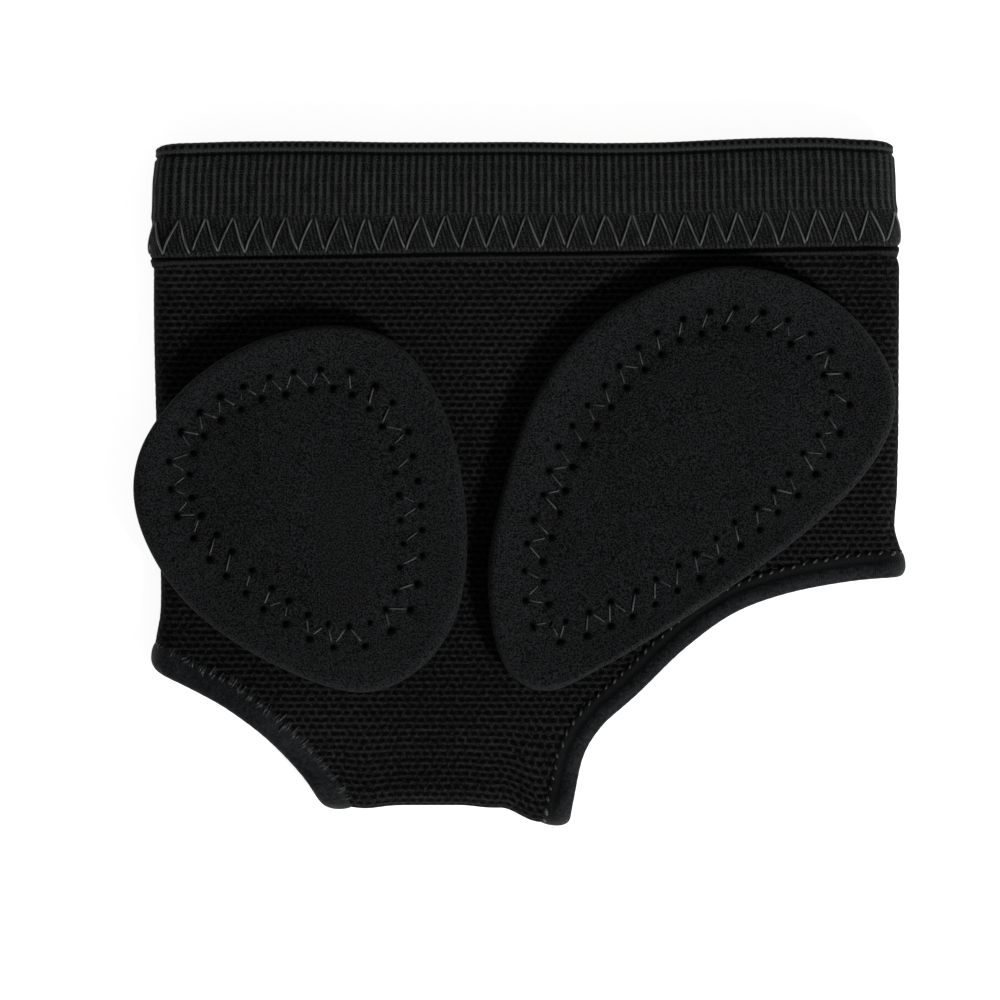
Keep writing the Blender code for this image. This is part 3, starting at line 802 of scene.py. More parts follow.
def knit_finish():
    """Black yarn: a net with painted shade in its oval holes and paler wavy lines between the
    courses, and the net and the grain as bump over the modelled relief. The swelling below the
    band is paler and stitched, and the band's shade is painted on the cloth just above it."""
    material, shader, pattern, place = new_finish("black_knit", 0.80, 0.04)
    x, y = pattern.along_and_across()
    course = (SLEEVE_TUCK - y) / KNIT_COURSE
    row = (course + 0.5).maths('FLOOR')
    odd = (row * 0.5).maths('FRACT') * 2.0
    from_hole = (x / KNIT_HOLE_PITCH + odd * 0.5).from_middle(1.0)
    from_row = course.from_middle(1.0)
    oval = (from_hole / 0.36) ** 2.0 + (from_row / 0.30) ** 2.0
    # Painted shade: net is 0 in the oval holes and darkens the colour there; it is also part of the bump.
    net = oval.ramp(0.15, 2.10)
    wave = (x / KNIT_HOLE_PITCH + odd * 0.5).cosine(1.0) * 0.05
    line = (from_row + wave).ramp(0.24, 0.50)
    grain = noise(pattern, 6.5, 2.0, 0.6)
    twist = noise(pattern, 1.8, 2.0)
    patches = noise(place, 60.0, 2.0)
    drop = place.node('ShaderNodeAttribute', {"attribute_name": "below_band"}, {}, out=2)
    on_seam = (((drop - SEAM_DROP) / 0.20) ** 2.0).ramp(1.6, 0.1)
    seam = on_seam * (x.from_middle(SEAM_STITCH).ramp(0.5, 0.1) * 0.4 + 0.6)
    # Painted shade of the band on the cloth from under its lower edge down to the swelling.
    painted_band_shade = drop.ramp(0.66, 0.25) * drop.ramp(-1.0, -0.2) * 0.9
    yarn = line * 0.20 + (twist - 0.5) * 1.8 + (patches - 0.5) * 0.4 + 0.28
    light = net * yarn + (grain - 0.5) * 3.0 * (net * 0.75 + 0.25)
    light = (light * (1.0 - seam) + seam * ((grain - 0.5) * 2.0 + 0.85)) * (1.0 - painted_band_shade)
    colour = colour_mix(light.clamped(), grey(0.0008, 1.0), grey(0.0320, 1.0))
    finish_with(shader, colour, net * 0.6 + grain, 0.7, 0.12 * MM)
    return material


build_piece("sleeve_knit", sleeve_points, sleeve_faces, knit_finish(),
            ["knitted_sleeve"], sleeve_uv, {"below_band": sleeve_drop}, recalculate=True)

# %% [markdown]
# ## The elastic band
#
# The band is a woven elastic 15 mm wide: upright ribs a millimetre apart, a row of small
# loops along each selvedge, and a groove under the upper one. It is a closed loop round the
# mouth, so the piece is a grid on two parameters, the way round and the way down. The way
# round is divided into whole ribs, four points each, so no rib falls between points. Its top
# edge falls a little at both ends, where the band turns round the side folds.

# %% Band surface
POINTS_PER_RIB = 4
BAND_CORNER_DROP = 0.6    # how far the top edge falls at the side folds
BAND_GROW = (SLEEVE_WALL + BAND_THICKNESS) / 2 + CLEARANCE
BAND_RADIUS = SIDE_FOLD_RADIUS + BAND_GROW
BAND_REACH = SLEEVE_WIDTH / 2 + BAND_PROUD - BAND_THICKNESS / 2 - BAND_RADIUS
HALF_ROUND = 2.0 * BAND_REACH + np.pi * BAND_RADIUS
RIB_SPACING = 1.02        # wanted; the way round is divided into whole ribs
RIB_COUNT = 2 * int(round(HALF_ROUND / RIB_SPACING))
RIB_PITCH = 2.0 * HALF_ROUND / RIB_COUNT
print("half way round", round(HALF_ROUND, 2), "mm,", RIB_COUNT, "ribs of", round(RIB_PITCH, 3))


def band_point(way, down, offset):
    """Point of the band at a way round (0 in the middle of the front, mm), a share down and an
    offset out of the wall's middle: flat over the front and the back, with a half circle at
    each side."""
    way = (way + HALF_ROUND / 2) % (2.0 * HALF_ROUND) - HALF_ROUND / 2
    on_back = way > HALF_ROUND / 2
    flat = np.where(on_back, HALF_ROUND - way, way)
    across = np.clip(flat / BAND_REACH, -1.0, 1.0)
    angle = np.sign(flat) * np.maximum(np.abs(flat) - BAND_REACH, 0.0) / BAND_RADIUS
    top = BAND_WIDTH * (1.0 + read_table(BAND_EDGE_ROWS, "across", "top", across))
    low = BAND_WIDTH * read_table(BAND_EDGE_ROWS, "across", "low", across)
    reach = band_side(across, down) - BAND_THICKNESS / 2 - BAND_RADIUS
    back = BAND_THICKNESS / 2
    side_top = back + 2.0 * BAND_RADIUS
    middle = (back + SLEEVE_WALL + MOUTH_HEIGHT + 2.0 * BAND_GROW
              - MOUTH_DROP * (1.0 - smoothstep(2.0 * down)))
    high = side_top + (middle - side_top) * crown(across)
    facing = np.where(on_back, -1.0, 1.0) * np.cos(angle)
    x = reach * across + (BAND_RADIUS + offset) * np.sin(angle)
    top = top - BAND_CORNER_DROP * (1.0 - np.cos(angle))
    y = top + (low - top) * down
    z = (high + back) / 2.0 + ((high - back) / 2.0 + offset) * facing
    return np.stack(np.broadcast_arrays(x, y, z), axis=-1)


BAND_ROWS_MM = np.concatenate((
    np.linspace(0.0, 1.6, 11),
    np.linspace(1.6, 9.2, 24)[1:],
    np.linspace(9.2, BAND_WIDTH, 22)[1:]))

# %% Band relief
# Places down the band, in mm below its upper edge.
LOOP_ROW = 0.48           # middle of the selvedge loops
FINE_LINE = 1.06          # pale line between the loops and the groove
GROOVE = 1.50
RIBS_START = 1.85         # the ribs reach full height a little below this
APEX_DOWN = 9.75          # upper points of the zigzag
FOOT_DOWN = 14.15         # its lower points
FOOT_LOOPS = 14.35        # middle of the loops at the lower edge


def band_relief(way, down):
    """Height of the weave over the band's own face, in mm: bells across the way down for the
    loops, the fine line and the groove, cosines along the way round for the ribs, and flatter
    cloth where the zigzag holds it down. Both edges are rounded by an exponential."""
    rib = (0.5 + 0.5 * np.cos(2.0 * np.pi * way / RIB_PITCH)) ** 0.8
    loops = 0.14 * np.abs(np.cos(np.pi * way / RIB_PITCH)) * np.exp(-((down - LOOP_ROW) / 0.34) ** 2)
    line = 0.07 * np.exp(-((down - FINE_LINE) / 0.14) ** 2)
    groove = -0.18 * np.exp(-((down - GROOVE) / 0.16) ** 2)
    ribbed = smoothstep((down - RIBS_START + 0.2) / 0.4)
    ribbed = ribbed * (1.0 - 0.6 * smoothstep((down - APEX_DOWN + 0.6) / 1.0))
    ends = 0.10 * np.abs(np.cos(np.pi * way / (RIB_PITCH * 0.75)))
    ends = ends * np.exp(-((down - FOOT_LOOPS) / 0.22) ** 2)
    sewn = -0.12 * smoothstep((down - APEX_DOWN + 0.4) / 0.9)
    rounded = -0.40 * np.exp(-down / 0.14) - 0.12 * np.exp(-(BAND_WIDTH - down) / 0.12)
    return loops + line + groove + 0.15 * rib * ribbed + ends + sewn + rounded


def scalloped(way, down):
    """Way down with both selvedges a little scalloped: each loop stands out a few hundredths."""
    loop = np.abs(np.cos(np.pi * way / RIB_PITCH))
    out_at_top = 0.03 * loop * np.exp(-down / 0.35)
    out_at_foot = 0.05 * loop * np.exp(-(BAND_WIDTH - down) / 0.30)
    return (down - out_at_top + out_at_foot) / BAND_WIDTH


def elastic_band_arrays():
    """Outer and inner face of the band as one closed grid, from the outer edge at the top,
    down outside, and up inside."""
    way = np.arange(RIB_COUNT * POINTS_PER_RIB) * (2.0 * HALF_ROUND / (RIB_COUNT * POINTS_PER_RIB))
    outer_face = band_point(way, scalloped(way, BAND_ROWS_MM[:, None]),
                            BAND_THICKNESS / 2 + band_relief(way, BAND_ROWS_MM[:, None]))
    inner_down = np.linspace(1.0, 0.0, 8)
    inner_face = band_point(way, inner_down[:, None], np.full((8, 1), -BAND_THICKNESS / 2))
    points = np.concatenate((outer_face, inner_face))
    points[..., 2] = np.maximum(points[..., 2], 0.0)
    faces, rows, columns = grid_faces(*points.shape[:2], close_rows=True, close_columns=True)
    downs = np.append(np.concatenate((BAND_ROWS_MM, inner_down * BAND_WIDTH)), 0.0)
    uv = np.stack((columns * (way[1] - way[0]), downs[rows]), axis=-1)
    return points, faces[:, ::-1], uv[:, ::-1]


# %% [markdown]
# The elastic is a little glossier than the knit. Its ribs are painted as pale lines, the light
# on their crests, between painted shade in the grooves. The strength of the painted light
# wanders along the rib, as the covering yarn lies now denser and now more open.

# %% Elastic finish
WEFT_PITCH = 1.35
SEWN_RIB_PITCH = 0.58
SEWN_RIB_LEAN = 0.30
FOOT_LOOP_PITCH = 0.83


def elastic_finish():
    """Ribs as pale lines of painted light on their crests between painted shade in the grooves,
    crossed by faint weft lines; below the zigzag's apexes the ribs are finer and lean."""
    material, shader, pattern, _ = new_finish("black_elastic", 0.70, 0.055)
    way, down = pattern.along_and_across()
    grain = noise(pattern, 6.0, 2.0, 0.6)
    streak_place = pattern.node('ShaderNodeMapping', {}, {"Vector": pattern, "Scale": (2.2, 0.42, 1.0)})
    streaks = noise(streak_place, 1.0, 2.0)
    # Painted light and shade: rib is 1 on each rib's crest and 0 in the grooves, and lights the colour on
    # the crests; it is also part of the bump.
    rib = way.from_middle(RIB_PITCH).ramp(0.40, 0.04)
    weft = down.from_middle(WEFT_PITCH).ramp(0.10, 0.01)
    ribs = rib * (streaks * 2.0 - 0.32) + weft * 0.22 - 0.02
    lean = way - down * SEWN_RIB_LEAN
    # Painted light on the crests of the finer, leaning ribs of the sewn zone.
    fine = lean.from_middle(SEWN_RIB_PITCH).ramp(0.45, 0.05)
    sewn = fine * (streaks * 1.5 - 0.40)
    in_sewn = down.ramp(APEX_DOWN - 0.7, APEX_DOWN + 0.2)
    # Painted shade: dark spots in the hollows between the selvedge loops.
    spot_way = (way + RIB_PITCH / 2).from_middle(RIB_PITCH) * (RIB_PITCH / 0.32)
    shaded_loop_gaps = (spot_way ** 2.0 + ((down - LOOP_ROW) / 0.30) ** 2.0).ramp(0.4, 1.5)
    beads = way.from_middle(RIB_PITCH / 2).ramp(0.50, 0.10)
    in_loops = down.ramp(FINE_LINE + 0.24, FINE_LINE + 0.12)
    pale_line = down.ramp(FINE_LINE - 0.24, FINE_LINE - 0.08)
    painted_groove_shade = down.ramp(GROOVE - 0.28, GROOVE - 0.14) * down.ramp(GROOVE + 0.40, GROOVE + 0.12)
    foot_loops = way.from_middle(FOOT_LOOP_PITCH).ramp(0.45, 0.15)
    foot_loops = foot_loops * down.ramp(FOOT_LOOPS - 0.40, FOOT_LOOPS - 0.15)
    foot_loops = foot_loops * down.ramp(FOOT_LOOPS + 0.25, FOOT_LOOPS + 0.10)
    woven = ribs * (1.0 - in_sewn) + sewn * in_sewn + foot_loops * 0.30
    woven = woven * (1.0 - in_loops) + (shaded_loop_gaps * 0.46 + pale_line * (beads * 0.35 + 0.08)) * in_loops
    light = (woven + (grain - 0.5) * (3.4 - in_loops * 2.0)).clamped()
    # Painted shade: darker in the groove under the loops, and fading to black at the band's lower edge.
    light = light * (1.0 - painted_groove_shade * 0.9) * down.ramp(BAND_WIDTH + 0.05, BAND_WIDTH - 0.20)
    colour = colour_mix(light, grey(0.0008), grey(0.0500))
    finish_with(shader, colour, rib * 0.4 + weft * 0.3 + grain * 0.9, 0.6, 0.11 * MM)
    return material


band_points, band_faces, band_uv = elastic_band_arrays()
build_piece("band_elastic", band_points, band_faces, elastic_finish(),
            ["elastic_band"], band_uv)

# %% [markdown]
# ## Tubes for thread
#
# Every thread on the object is the same thing: a short tube along a path that dives into the
# cloth at both ends. One function makes hundreds of them at once: paths in an array, a ring
# of points round each station, and a flat cap at both ends, which is always under the cloth.

# %% Many tubes at once
TUBE_SIDES = 6


def tubes(paths, radii, sides=TUBE_SIDES):
    """Points, faces and corner places of tubes. Paths is (tubes, stations, 3); each station's
    ring lies across the path, on the level direction across it and the one over both."""
    count, stations = paths.shape[:2]
    step = unit(np.gradient(paths, axis=1))
    sideways = unit(np.cross(step, [0.0, 0.0, 1.0]))
    over = np.cross(sideways, step)
    turn = np.arange(sides) * 2.0 * np.pi / sides
    radii = np.broadcast_to(radii, (count, stations))[..., None, None]
    rings = paths[:, :, None] + radii * (sideways[:, :, None] * np.cos(turn)[:, None]
                                         + over[:, :, None] * np.sin(turn)[:, None])
    faces, rows, columns = grid_faces(stations, sides, close_columns=True)
    starts = (np.arange(count) * stations * sides)[:, None, None]
    quads = (faces[None] + starts).reshape(-1, 4)
    caps = np.concatenate((np.arange(sides)[None] + starts[:, :, 0],
                           np.arange(sides)[::-1][None] + (stations - 1) * sides + starts[:, :, 0]))
    run = np.concatenate((np.zeros((count, 1)),
                          np.cumsum(np.linalg.norm(np.diff(paths, axis=1), axis=2), axis=1)), axis=1)
    quad_uv = np.stack((run[:, rows], np.broadcast_to(columns / sides, (count, *columns.shape))), axis=-1)
    cap_uv = np.zeros((len(caps) * sides, 2))
    uv = np.concatenate((quad_uv.reshape(-1, 2), cap_uv))
    return rings.reshape(-1, 3), quads.tolist() + caps.tolist(), uv


# %% Thread finish


def thread_finish(name, dark, pale):
    """Twisted polyester thread: pale grey in slanting plies, dull here and there and brighter in blotches
    of painted highlight.
    """
    material, shader, pattern, place = new_finish(name, 0.45, 0.5)
    along, around = pattern.along_and_across()
    ply = (along * 3.2 + around * 2.0).cosine(1.0) * 0.5 + 0.5
    blotch = noise(place, 420.0, 2.0)
    # The blotches vary the thread's tone and stand for its glints: the pale ones are painted highlight.
    light = ply * 0.30 + blotch.ramp(0.36, 0.66) * 0.75
    colour = colour_mix(light.clamped(), grey(dark, 1.04), grey(pale, 1.04))
    finish_with(shader, colour, ply, 0.5, 0.03 * MM)
    return material


print("tubes and thread ready")

# %% [markdown]
# ## The band's zigzag
#
# The band is sewn on with a zigzag 3.5 mm long and 4.4 mm deep in a grey thread that catches
# the light. Each leg is a tube of its own, a little bowed. Most neighbouring legs leave a
# small gap at the needle hole, and the others meet in a point. The zigzag goes all the way
# round the mouth.

# %% Zigzag on the band
ZIGZAG_LENGTH = 3.51      # wanted; the way round is divided into whole zigzags
ZIGZAG_COUNT = 2 * int(round(HALF_ROUND / ZIGZAG_LENGTH))
ZIGZAG_PITCH = 2.0 * HALF_ROUND / ZIGZAG_COUNT
THREAD_RADIUS = 0.14
LEG_GAP = 0.22            # widest gap between a leg's end and the needle hole, mm
OPEN_ENDS = 0.7           # share of the legs' ends that leave a gap
random = np.random.default_rng(7)


def band_zigzag():
    """Legs from apex to foot and back: the way round grows evenly, bowed by a sine. An end that
    leaves a gap dives into the cloth."""
    share = np.linspace(0.0, 1.0, 11)
    number = np.arange(2 * ZIGZAG_COUNT)
    falling = number % 2 == 0
    gap = random.uniform(0.0, LEG_GAP, (len(number), 2)) * (random.random((len(number), 2)) < OPEN_ENDS)
    start = (number * 0.5) * ZIGZAG_PITCH + gap[:, 0]
    way = start[:, None] + share * (ZIGZAG_PITCH / 2 - gap.sum(axis=1))[:, None]
    depth = np.where(falling[:, None], share, 1.0 - share)
    jitter = random.normal(0.0, 0.12, (len(number), 2))
    down = (APEX_DOWN + jitter[:, :1]) + (FOOT_DOWN - APEX_DOWN + jitter[:, 1:]) * depth
    bow = random.normal(-0.05, 0.05, (len(number), 1)) * np.sin(np.pi * share)
    lift = 0.03 + 0.15 * np.sin(np.pi * share) ** 0.4
    dives = (gap[:, :1] > 0.0) * (share < 0.001) + (gap[:, 1:] > 0.0) * (share > 0.999)
    lift = lift - 0.25 * dives
    paths = band_point(way + bow, down / BAND_WIDTH, BAND_THICKNESS / 2 - 0.06 + lift)
    paths[..., 2] = np.maximum(paths[..., 2], THREAD_RADIUS)
    return paths


zigzag_points, zigzag_faces, zigzag_uv = tubes(band_zigzag(), THREAD_RADIUS)
build_piece("band_zigzag_thread", zigzag_points, zigzag_faces,
            thread_finish("band_thread", 0.035, 0.12), (), zigzag_uv, recalculate=True)

# %% [markdown]
# ## The hems of the toe openings
#
# Each toe opening has a rolled hem, overlocked in black. It is a closed roll: over the front
# sheet, round the side fold, along the back sheet and round the strap's fold. Its section is
# carried along the edge: round on the outside, flatter and wider where it reaches in over the
# cloth, with a groove along its top where the stitches draw it down. At both folds the roll is
# rounder and thicker, because the cloth bunches up there.

# %% Middle line of a hem
HEM_POINTS = 420          # of its middle line over one sheet


def hem_line(cut, side):
    """Middle line in the flat pattern: the cut moved out by half a hem, ended on the folds."""
    dense = along_curve(cut, np.linspace(0.0, 1.0, 200))
    step = np.gradient(dense, axis=0)
    outward = side * unit(np.column_stack((-step[:, 1], step[:, 0])))
    line = dense + outward * (CLEARANCE + HEM_WIDTH / 2)
    line = np.vstack((line[0] + unit(line[0] - line[1]) * HEM_WIDTH, line,
                      line[-1] + unit(line[-1] - line[-2]) * HEM_WIDTH))
    fine = read_line(np.linspace(0.0, len(line) - 1.0, 4000), np.arange(len(line)), line)
    inside = (np.abs(fine[:, 0]) <= side_line(fine[:, 0], fine[:, 1])) & (fine[:, 1] >= STRAP_LINE)
    first, last = np.flatnonzero(inside)[[0, -1]]
    kept = fine[first:last + 1]
    kept[0, 0] = side * side_line(side, kept[0, 1])
    kept[-1, 1] = STRAP_LINE
    run = run_of(kept)
    return read_line(np.linspace(0.0, run[-1], HEM_POINTS), run, kept)


def hem_frame(cut, side):
    """Closed middle line of a hem with its outward and upward directions, smoothed where it
    turns round the folds."""
    pattern = hem_line(cut, side)
    centre = np.vstack((bend(pattern, True), bend(pattern[-2:0:-1], False)))
    normal = np.vstack((out_of_sleeve(pattern, True), out_of_sleeve(pattern[-2:0:-1], False)))
    centre[:, 2] = np.maximum(centre[:, 2], HEM_THICKNESS / 2)
    closed_centre, closed_normal = np.vstack((centre, centre[:1])), np.vstack((normal, normal[:1]))
    run = run_of(closed_centre)
    even = np.arange(2 * HEM_POINTS) / (2 * HEM_POINTS) * run[-1]
    centre, normal = read_line(even, run, closed_centre), read_line(even, run, closed_normal)
    along = unit(np.roll(centre, -1, axis=0) - np.roll(centre, 1, axis=0))
    sideways = unit(np.cross(unit(normal), along))
    return centre, sideways * side, np.cross(along, sideways), even, run[-1]


print("hem frames", [round(hem_frame(cut, side)[4], 1) for cut, side in ((SMALL_CUT, -1), (LARGE_CUT, 1))])

# %% Hem roll
HEM_STITCH = 1.45
HEM_ROUND = 0.94          # the roll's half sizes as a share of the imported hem's
HEM_OVER_EDGE = 0.85      # how much further the roll reaches over the cloth, mm
ROLL_SIDES = 32
GROOVE_TURN = np.radians(122.0)   # where the groove lies, counted from straight outwards
SIDE_BUNCH = 0.24         # how much thicker the roll is at the side fold, as a share
STRAP_BUNCH = 0.14        # and at the strap's fold


def near_folds(hem, side):
    """Two shares along a hem: 1 at the side fold, and 1 at the strap's fold, each fading by an
    exponential of the distance from it."""
    centre = hem[0]
    at_side = np.exp(-((side * centre[:, 0]).max() - side * centre[:, 0]) / 1.3)
    return at_side, np.exp(-(centre[:, 1] - centre[:, 1].min()) / 1.5)


def hem_roll(cut, side, groove_depth):
    """Closed roll: an ellipse outside, the fourth root of 1 less the fourth power of the cosine
    where it reaches in over the cloth, and a trace of a cosine thicker at every stitch. The
    groove is a bell round one angle of the section."""
    hem = hem_frame(cut, side)
    centre, outward, over, run, length = hem
    count = int(round(length / HEM_STITCH))
    turn = np.arange(ROLL_SIDES) * 2.0 * np.pi / ROLL_SIDES
    swell = 0.005 * np.cos(2.0 * np.pi * count * run / length)
    at_side, at_strap = near_folds(hem, side)
    at_fold = np.maximum(at_side, at_strap)[:, None]
    size = (HEM_ROUND + swell + STRAP_BUNCH * at_strap)[:, None]
    size = size - groove_depth * (1.0 - at_fold) * np.exp(-((turn - GROOVE_TURN) / 0.40) ** 2)
    inside = np.cos(turn) < 0.0
    across = np.cos(turn) * (HEM_WIDTH / 2 * size + HEM_OVER_EDGE * inside)
    flatter = np.sign(np.sin(turn)) * (1.0 - np.cos(turn) ** 4) ** 0.25
    flatter = flatter + (np.sin(turn) - flatter) * at_fold
    thickness = HEM_THICKNESS * (size + SIDE_BUNCH * at_side[:, None])
    height = np.where(inside, flatter, np.sin(turn)) * thickness / 2
    points = centre[:, None] + outward[:, None] * across[..., None] + over[:, None] * height[..., None]
    points[..., 2] = np.maximum(points[..., 2], 0.0)
    faces, rows, columns = grid_faces(len(centre), ROLL_SIDES, close_rows=True, close_columns=True)
    runs = np.append(run, length)
    uv = np.stack((runs[rows], columns / ROLL_SIDES), axis=-1)
    return points, faces, uv


def hem_finish(name, painted_inner_shade):
    """Overlock yarn: fine wrapped threads across the roll, blue black, with painted shade, a share
    darker, on the inner half of its top, where the groove lies."""
    material, shader, pattern, place = new_finish(name, 0.65, 0.12)
    along, around = pattern.along_and_across()
    wrap = (along + around * 0.8).from_middle(0.30).ramp(0.45, 0.10)
    grain = noise(place, 2400.0, 3.0, 0.65)
    blotch = noise(place, 500.0, 2.0)
    light = (wrap * 0.12 + (grain - 0.5) * 2.8 + (blotch - 0.5) * 0.9 + 0.34).clamped()
    # Painted shade over the groove on the inner half of the roll's top.
    on_top = around.ramp(0.26, 0.32) * around.ramp(0.58, 0.52)
    colour = colour_mix(light * (1.0 - on_top * painted_inner_shade), grey(0.0012, 1.25), grey(0.0180, 1.25))
    finish_with(shader, colour, wrap * 0.4 + grain, 0.6, 0.10 * MM)
    return material


for name, node, cut, side, groove_depth, painted_inner_shade in (
        ("small_toe_roll", "small_toe_hem", SMALL_CUT, -1.0, 0.06, 0.15),
        ("large_toe_roll", "large_toe_hem", LARGE_CUT, 1.0, 0.34, 0.85)):
    hem_points, hem_faces, hem_uv = hem_roll(cut, side, groove_depth)
    build_piece(name, hem_points, hem_faces, hem_finish(name, painted_inner_shade), [node],
                hem_uv.reshape(-1, 2), recalculate=True)

# %% [markdown]
# The overlock shows on the inner edge of both hems, but differently. On the small opening the
# threads lie across the edge as short tufts, four fine strands to a stitch. On the large one
# each loop of the chain lies along the edge like a bead, some plump and some thin. Both are
# tubes again, placed by a way along the hem, an amount across it and a height over its middle.

# %% Hem stitches
TUFT_STRANDS = 4
TUFT_START, TUFT_END = -0.95, -2.65   # from the roll's middle line, mm, inwards negative
BEAD_PLACE = -1.95
LOWEST_STITCH = 0.25      # least height of a stitch's middle over the floor


def hem_places(hem, way, across, height):
    """Points of a hem's frame, read at any way along its closed line."""
    centre, outward, over, run, length = hem
    centre, outward, over = (read_line(way, run, values, length) for values in (centre, outward, over))
    return centre + outward * across[..., None] + over * height[..., None]


def roll_height(across):
    """Top of the roll's inner half over its middle, or the cloth's face where that is higher."""
    reach = HEM_WIDTH / 2 * HEM_ROUND + HEM_OVER_EDGE
    top = HEM_THICKNESS / 2 * HEM_ROUND * np.clip(1.0 - (across / reach) ** 4, 0.0, 1.0) ** 0.25
    return np.maximum(top, SLEEVE_WALL / 2)


def sunk_at_folds(hem, side, way):
    """How much lower the stitches lie where the roll turns round a fold, mm."""
    return 0.28 * np.interp(way % hem[4], hem[3], np.maximum(*near_folds(hem, side)), period=hem[4])


def hem_tufts(hem, side):
    """Tufts across the inner edge, one to a stitch, whose strands each have their own place,
    length, slant and thickness. A strand rises by the root of a half sine."""
    stitches = int(round(hem[4] / HEM_STITCH))
    strand = np.tile(np.arange(TUFT_STRANDS), stitches)[:, None] - (TUFT_STRANDS - 1) / 2
    count = len(strand)
    share = np.linspace(0.0, 1.0, 9)
    start = random.normal(TUFT_START, 0.22, (count, 1))
    end = random.normal(TUFT_END, 0.25, (count, 1))
    across = start + (end - start) * share
    stitch_at = np.repeat(np.arange(stitches), TUFT_STRANDS)[:, None] * hem[4] / stitches
    slant = np.repeat(random.normal(0.10, 0.25, stitches), TUFT_STRANDS)[:, None]
    slant = slant + random.normal(0.0, 0.10, (count, 1))
    way = stitch_at + strand * 0.20 + random.normal(0.0, 0.07, (count, 1)) + slant * share
    rise = random.normal(0.30, 0.05, (count, 1)) * np.sin(np.pi * share) ** 0.5
    height = roll_height(across) - 0.34 + rise - sunk_at_folds(hem, side, way)
    radii = random.uniform(0.10, 0.19, (count, 1)) * (0.45 + 0.55 * np.sin(np.pi * share))
    return hem_places(hem, way % hem[4], across, height), radii


def hem_beads(hem, side):
    """Loops along the inner edge: short thick tubes with round ends, radius by a half sine."""
    count = int(round(hem[4] / HEM_STITCH))
    share = np.linspace(0.0, 1.0, 9)
    length = 0.72 + random.normal(0.0, 0.08, (count, 1))
    way = (np.arange(count)[:, None] + 0.5) * hem[4] / count + length * (share - 0.5)
    across = BEAD_PLACE + random.normal(0.0, 0.07, (count, 1)) + 0.45 * (share - 0.5)
    height = roll_height(across) + 0.03 + 0.08 * np.sin(np.pi * share) - sunk_at_folds(hem, side, way)
    radii = 0.03 + random.uniform(0.14, 0.23, (count, 1)) * np.sin(np.pi * share) ** 0.6
    return hem_places(hem, way % hem[4], across, height), radii


for name, cut, side, stitches, pale in (("small_toe_tufts", SMALL_CUT, -1.0, hem_tufts, 0.011),
                                        ("large_toe_chain", LARGE_CUT, 1.0, hem_beads, 0.032)):
    stitch_paths, stitch_radii = stitches(hem_frame(cut, side), side)
    stitch_paths[..., 2] = np.maximum(stitch_paths[..., 2], LOWEST_STITCH)
    stitch_points, stitch_faces, stitch_uv = tubes(stitch_paths, stitch_radii)
    build_piece(name, stitch_points, stitch_faces, thread_finish(name, 0.005, pale), (),
                stitch_uv, recalculate=True)

# %% [markdown]
# ## The foam pads
#
# The pads are punched out of foam faced with suede, and sewn down with a zigzag ring well
# inside their border, so the border stands free and its edge shows its thickness. The
# stitches pull a furrow into the foam, with a deep dimple at every needle hole. The grid
# follows the ring, not the outline: rows run round the pad, evenly over the middle, then
# closely across the stitches, then out to the rim and back underneath.

# %% Pad sizes and tables
ROUND_PAD_WIDTH = 44.3
ROUND_PAD_LENGTH = 48.8
ROUND_PAD_OVERHANG = 2.8
ROUND_PAD_DROP = 9.9
PAD_SPACING = 2.8
LONG_PAD_LENGTH = 56.5
LONG_PAD_INSET = 0.4
LONG_PAD_DROP = 2.0

ROUND_PAD_OUTLINE = table(
    "across along",
    (0.20, 1.00), (0.60, 0.89), (0.88, 0.50), (1.00, -0.06), (0.95, -0.55), (0.72, -0.87),
    (0.34, -1.00), (-0.22, -0.82), (-0.70, -0.50), (-0.97, -0.08), (-0.97, 0.30), (-0.70, 0.66),
    (-0.28, 0.91))
LONG_PAD_OUTLINE = table(
    "across along",
    (0.22, 1.00), (0.62, 0.89), (0.90, 0.64), (1.00, 0.36), (0.88, 0.06), (0.55, -0.26),
    (0.04, -0.61), (-0.42, -0.88), (-0.72, -1.00), (-0.93, -0.86), (-1.00, -0.48), (-0.94, -0.10),
    (-0.79, 0.34), (-0.55, 0.67), (-0.20, 0.90))
ROUND_PAD_RING = table(
    "across along",
    (0.12, 0.71), (0.33, 0.68), (0.53, 0.50), (0.625, 0.26), (0.655, 0.00), (0.667, -0.27),
    (0.59, -0.52), (0.43, -0.665), (0.18, -0.69), (-0.06, -0.58), (-0.33, -0.375), (-0.57, -0.157),
    (-0.72, 0.05), (-0.705, 0.33), (-0.525, 0.526), (-0.23, 0.657))
LONG_PAD_RING = table(
    "across along",
    (-0.03, 0.717), (0.266, 0.759), (0.55, 0.65), (0.708, 0.48), (0.718, 0.363), (0.634, 0.155),
    (0.452, -0.062), (0.167, -0.303), (-0.132, -0.50), (-0.446, -0.656), (-0.692, -0.722),
    (-0.761, -0.595), (-0.78, -0.416), (-0.717, -0.185), (-0.604, 0.141), (-0.373, 0.443),
    (-0.176, 0.632))

left_edge = -SLEEVE_WIDTH / 2 - ROUND_PAD_OVERHANG
right_edge = SLEEVE_WIDTH / 2 - LONG_PAD_INSET
long_pad_width = right_edge - left_edge - ROUND_PAD_WIDTH - PAD_SPACING
print("long pad", round(long_pad_width, 2), "mm wide")

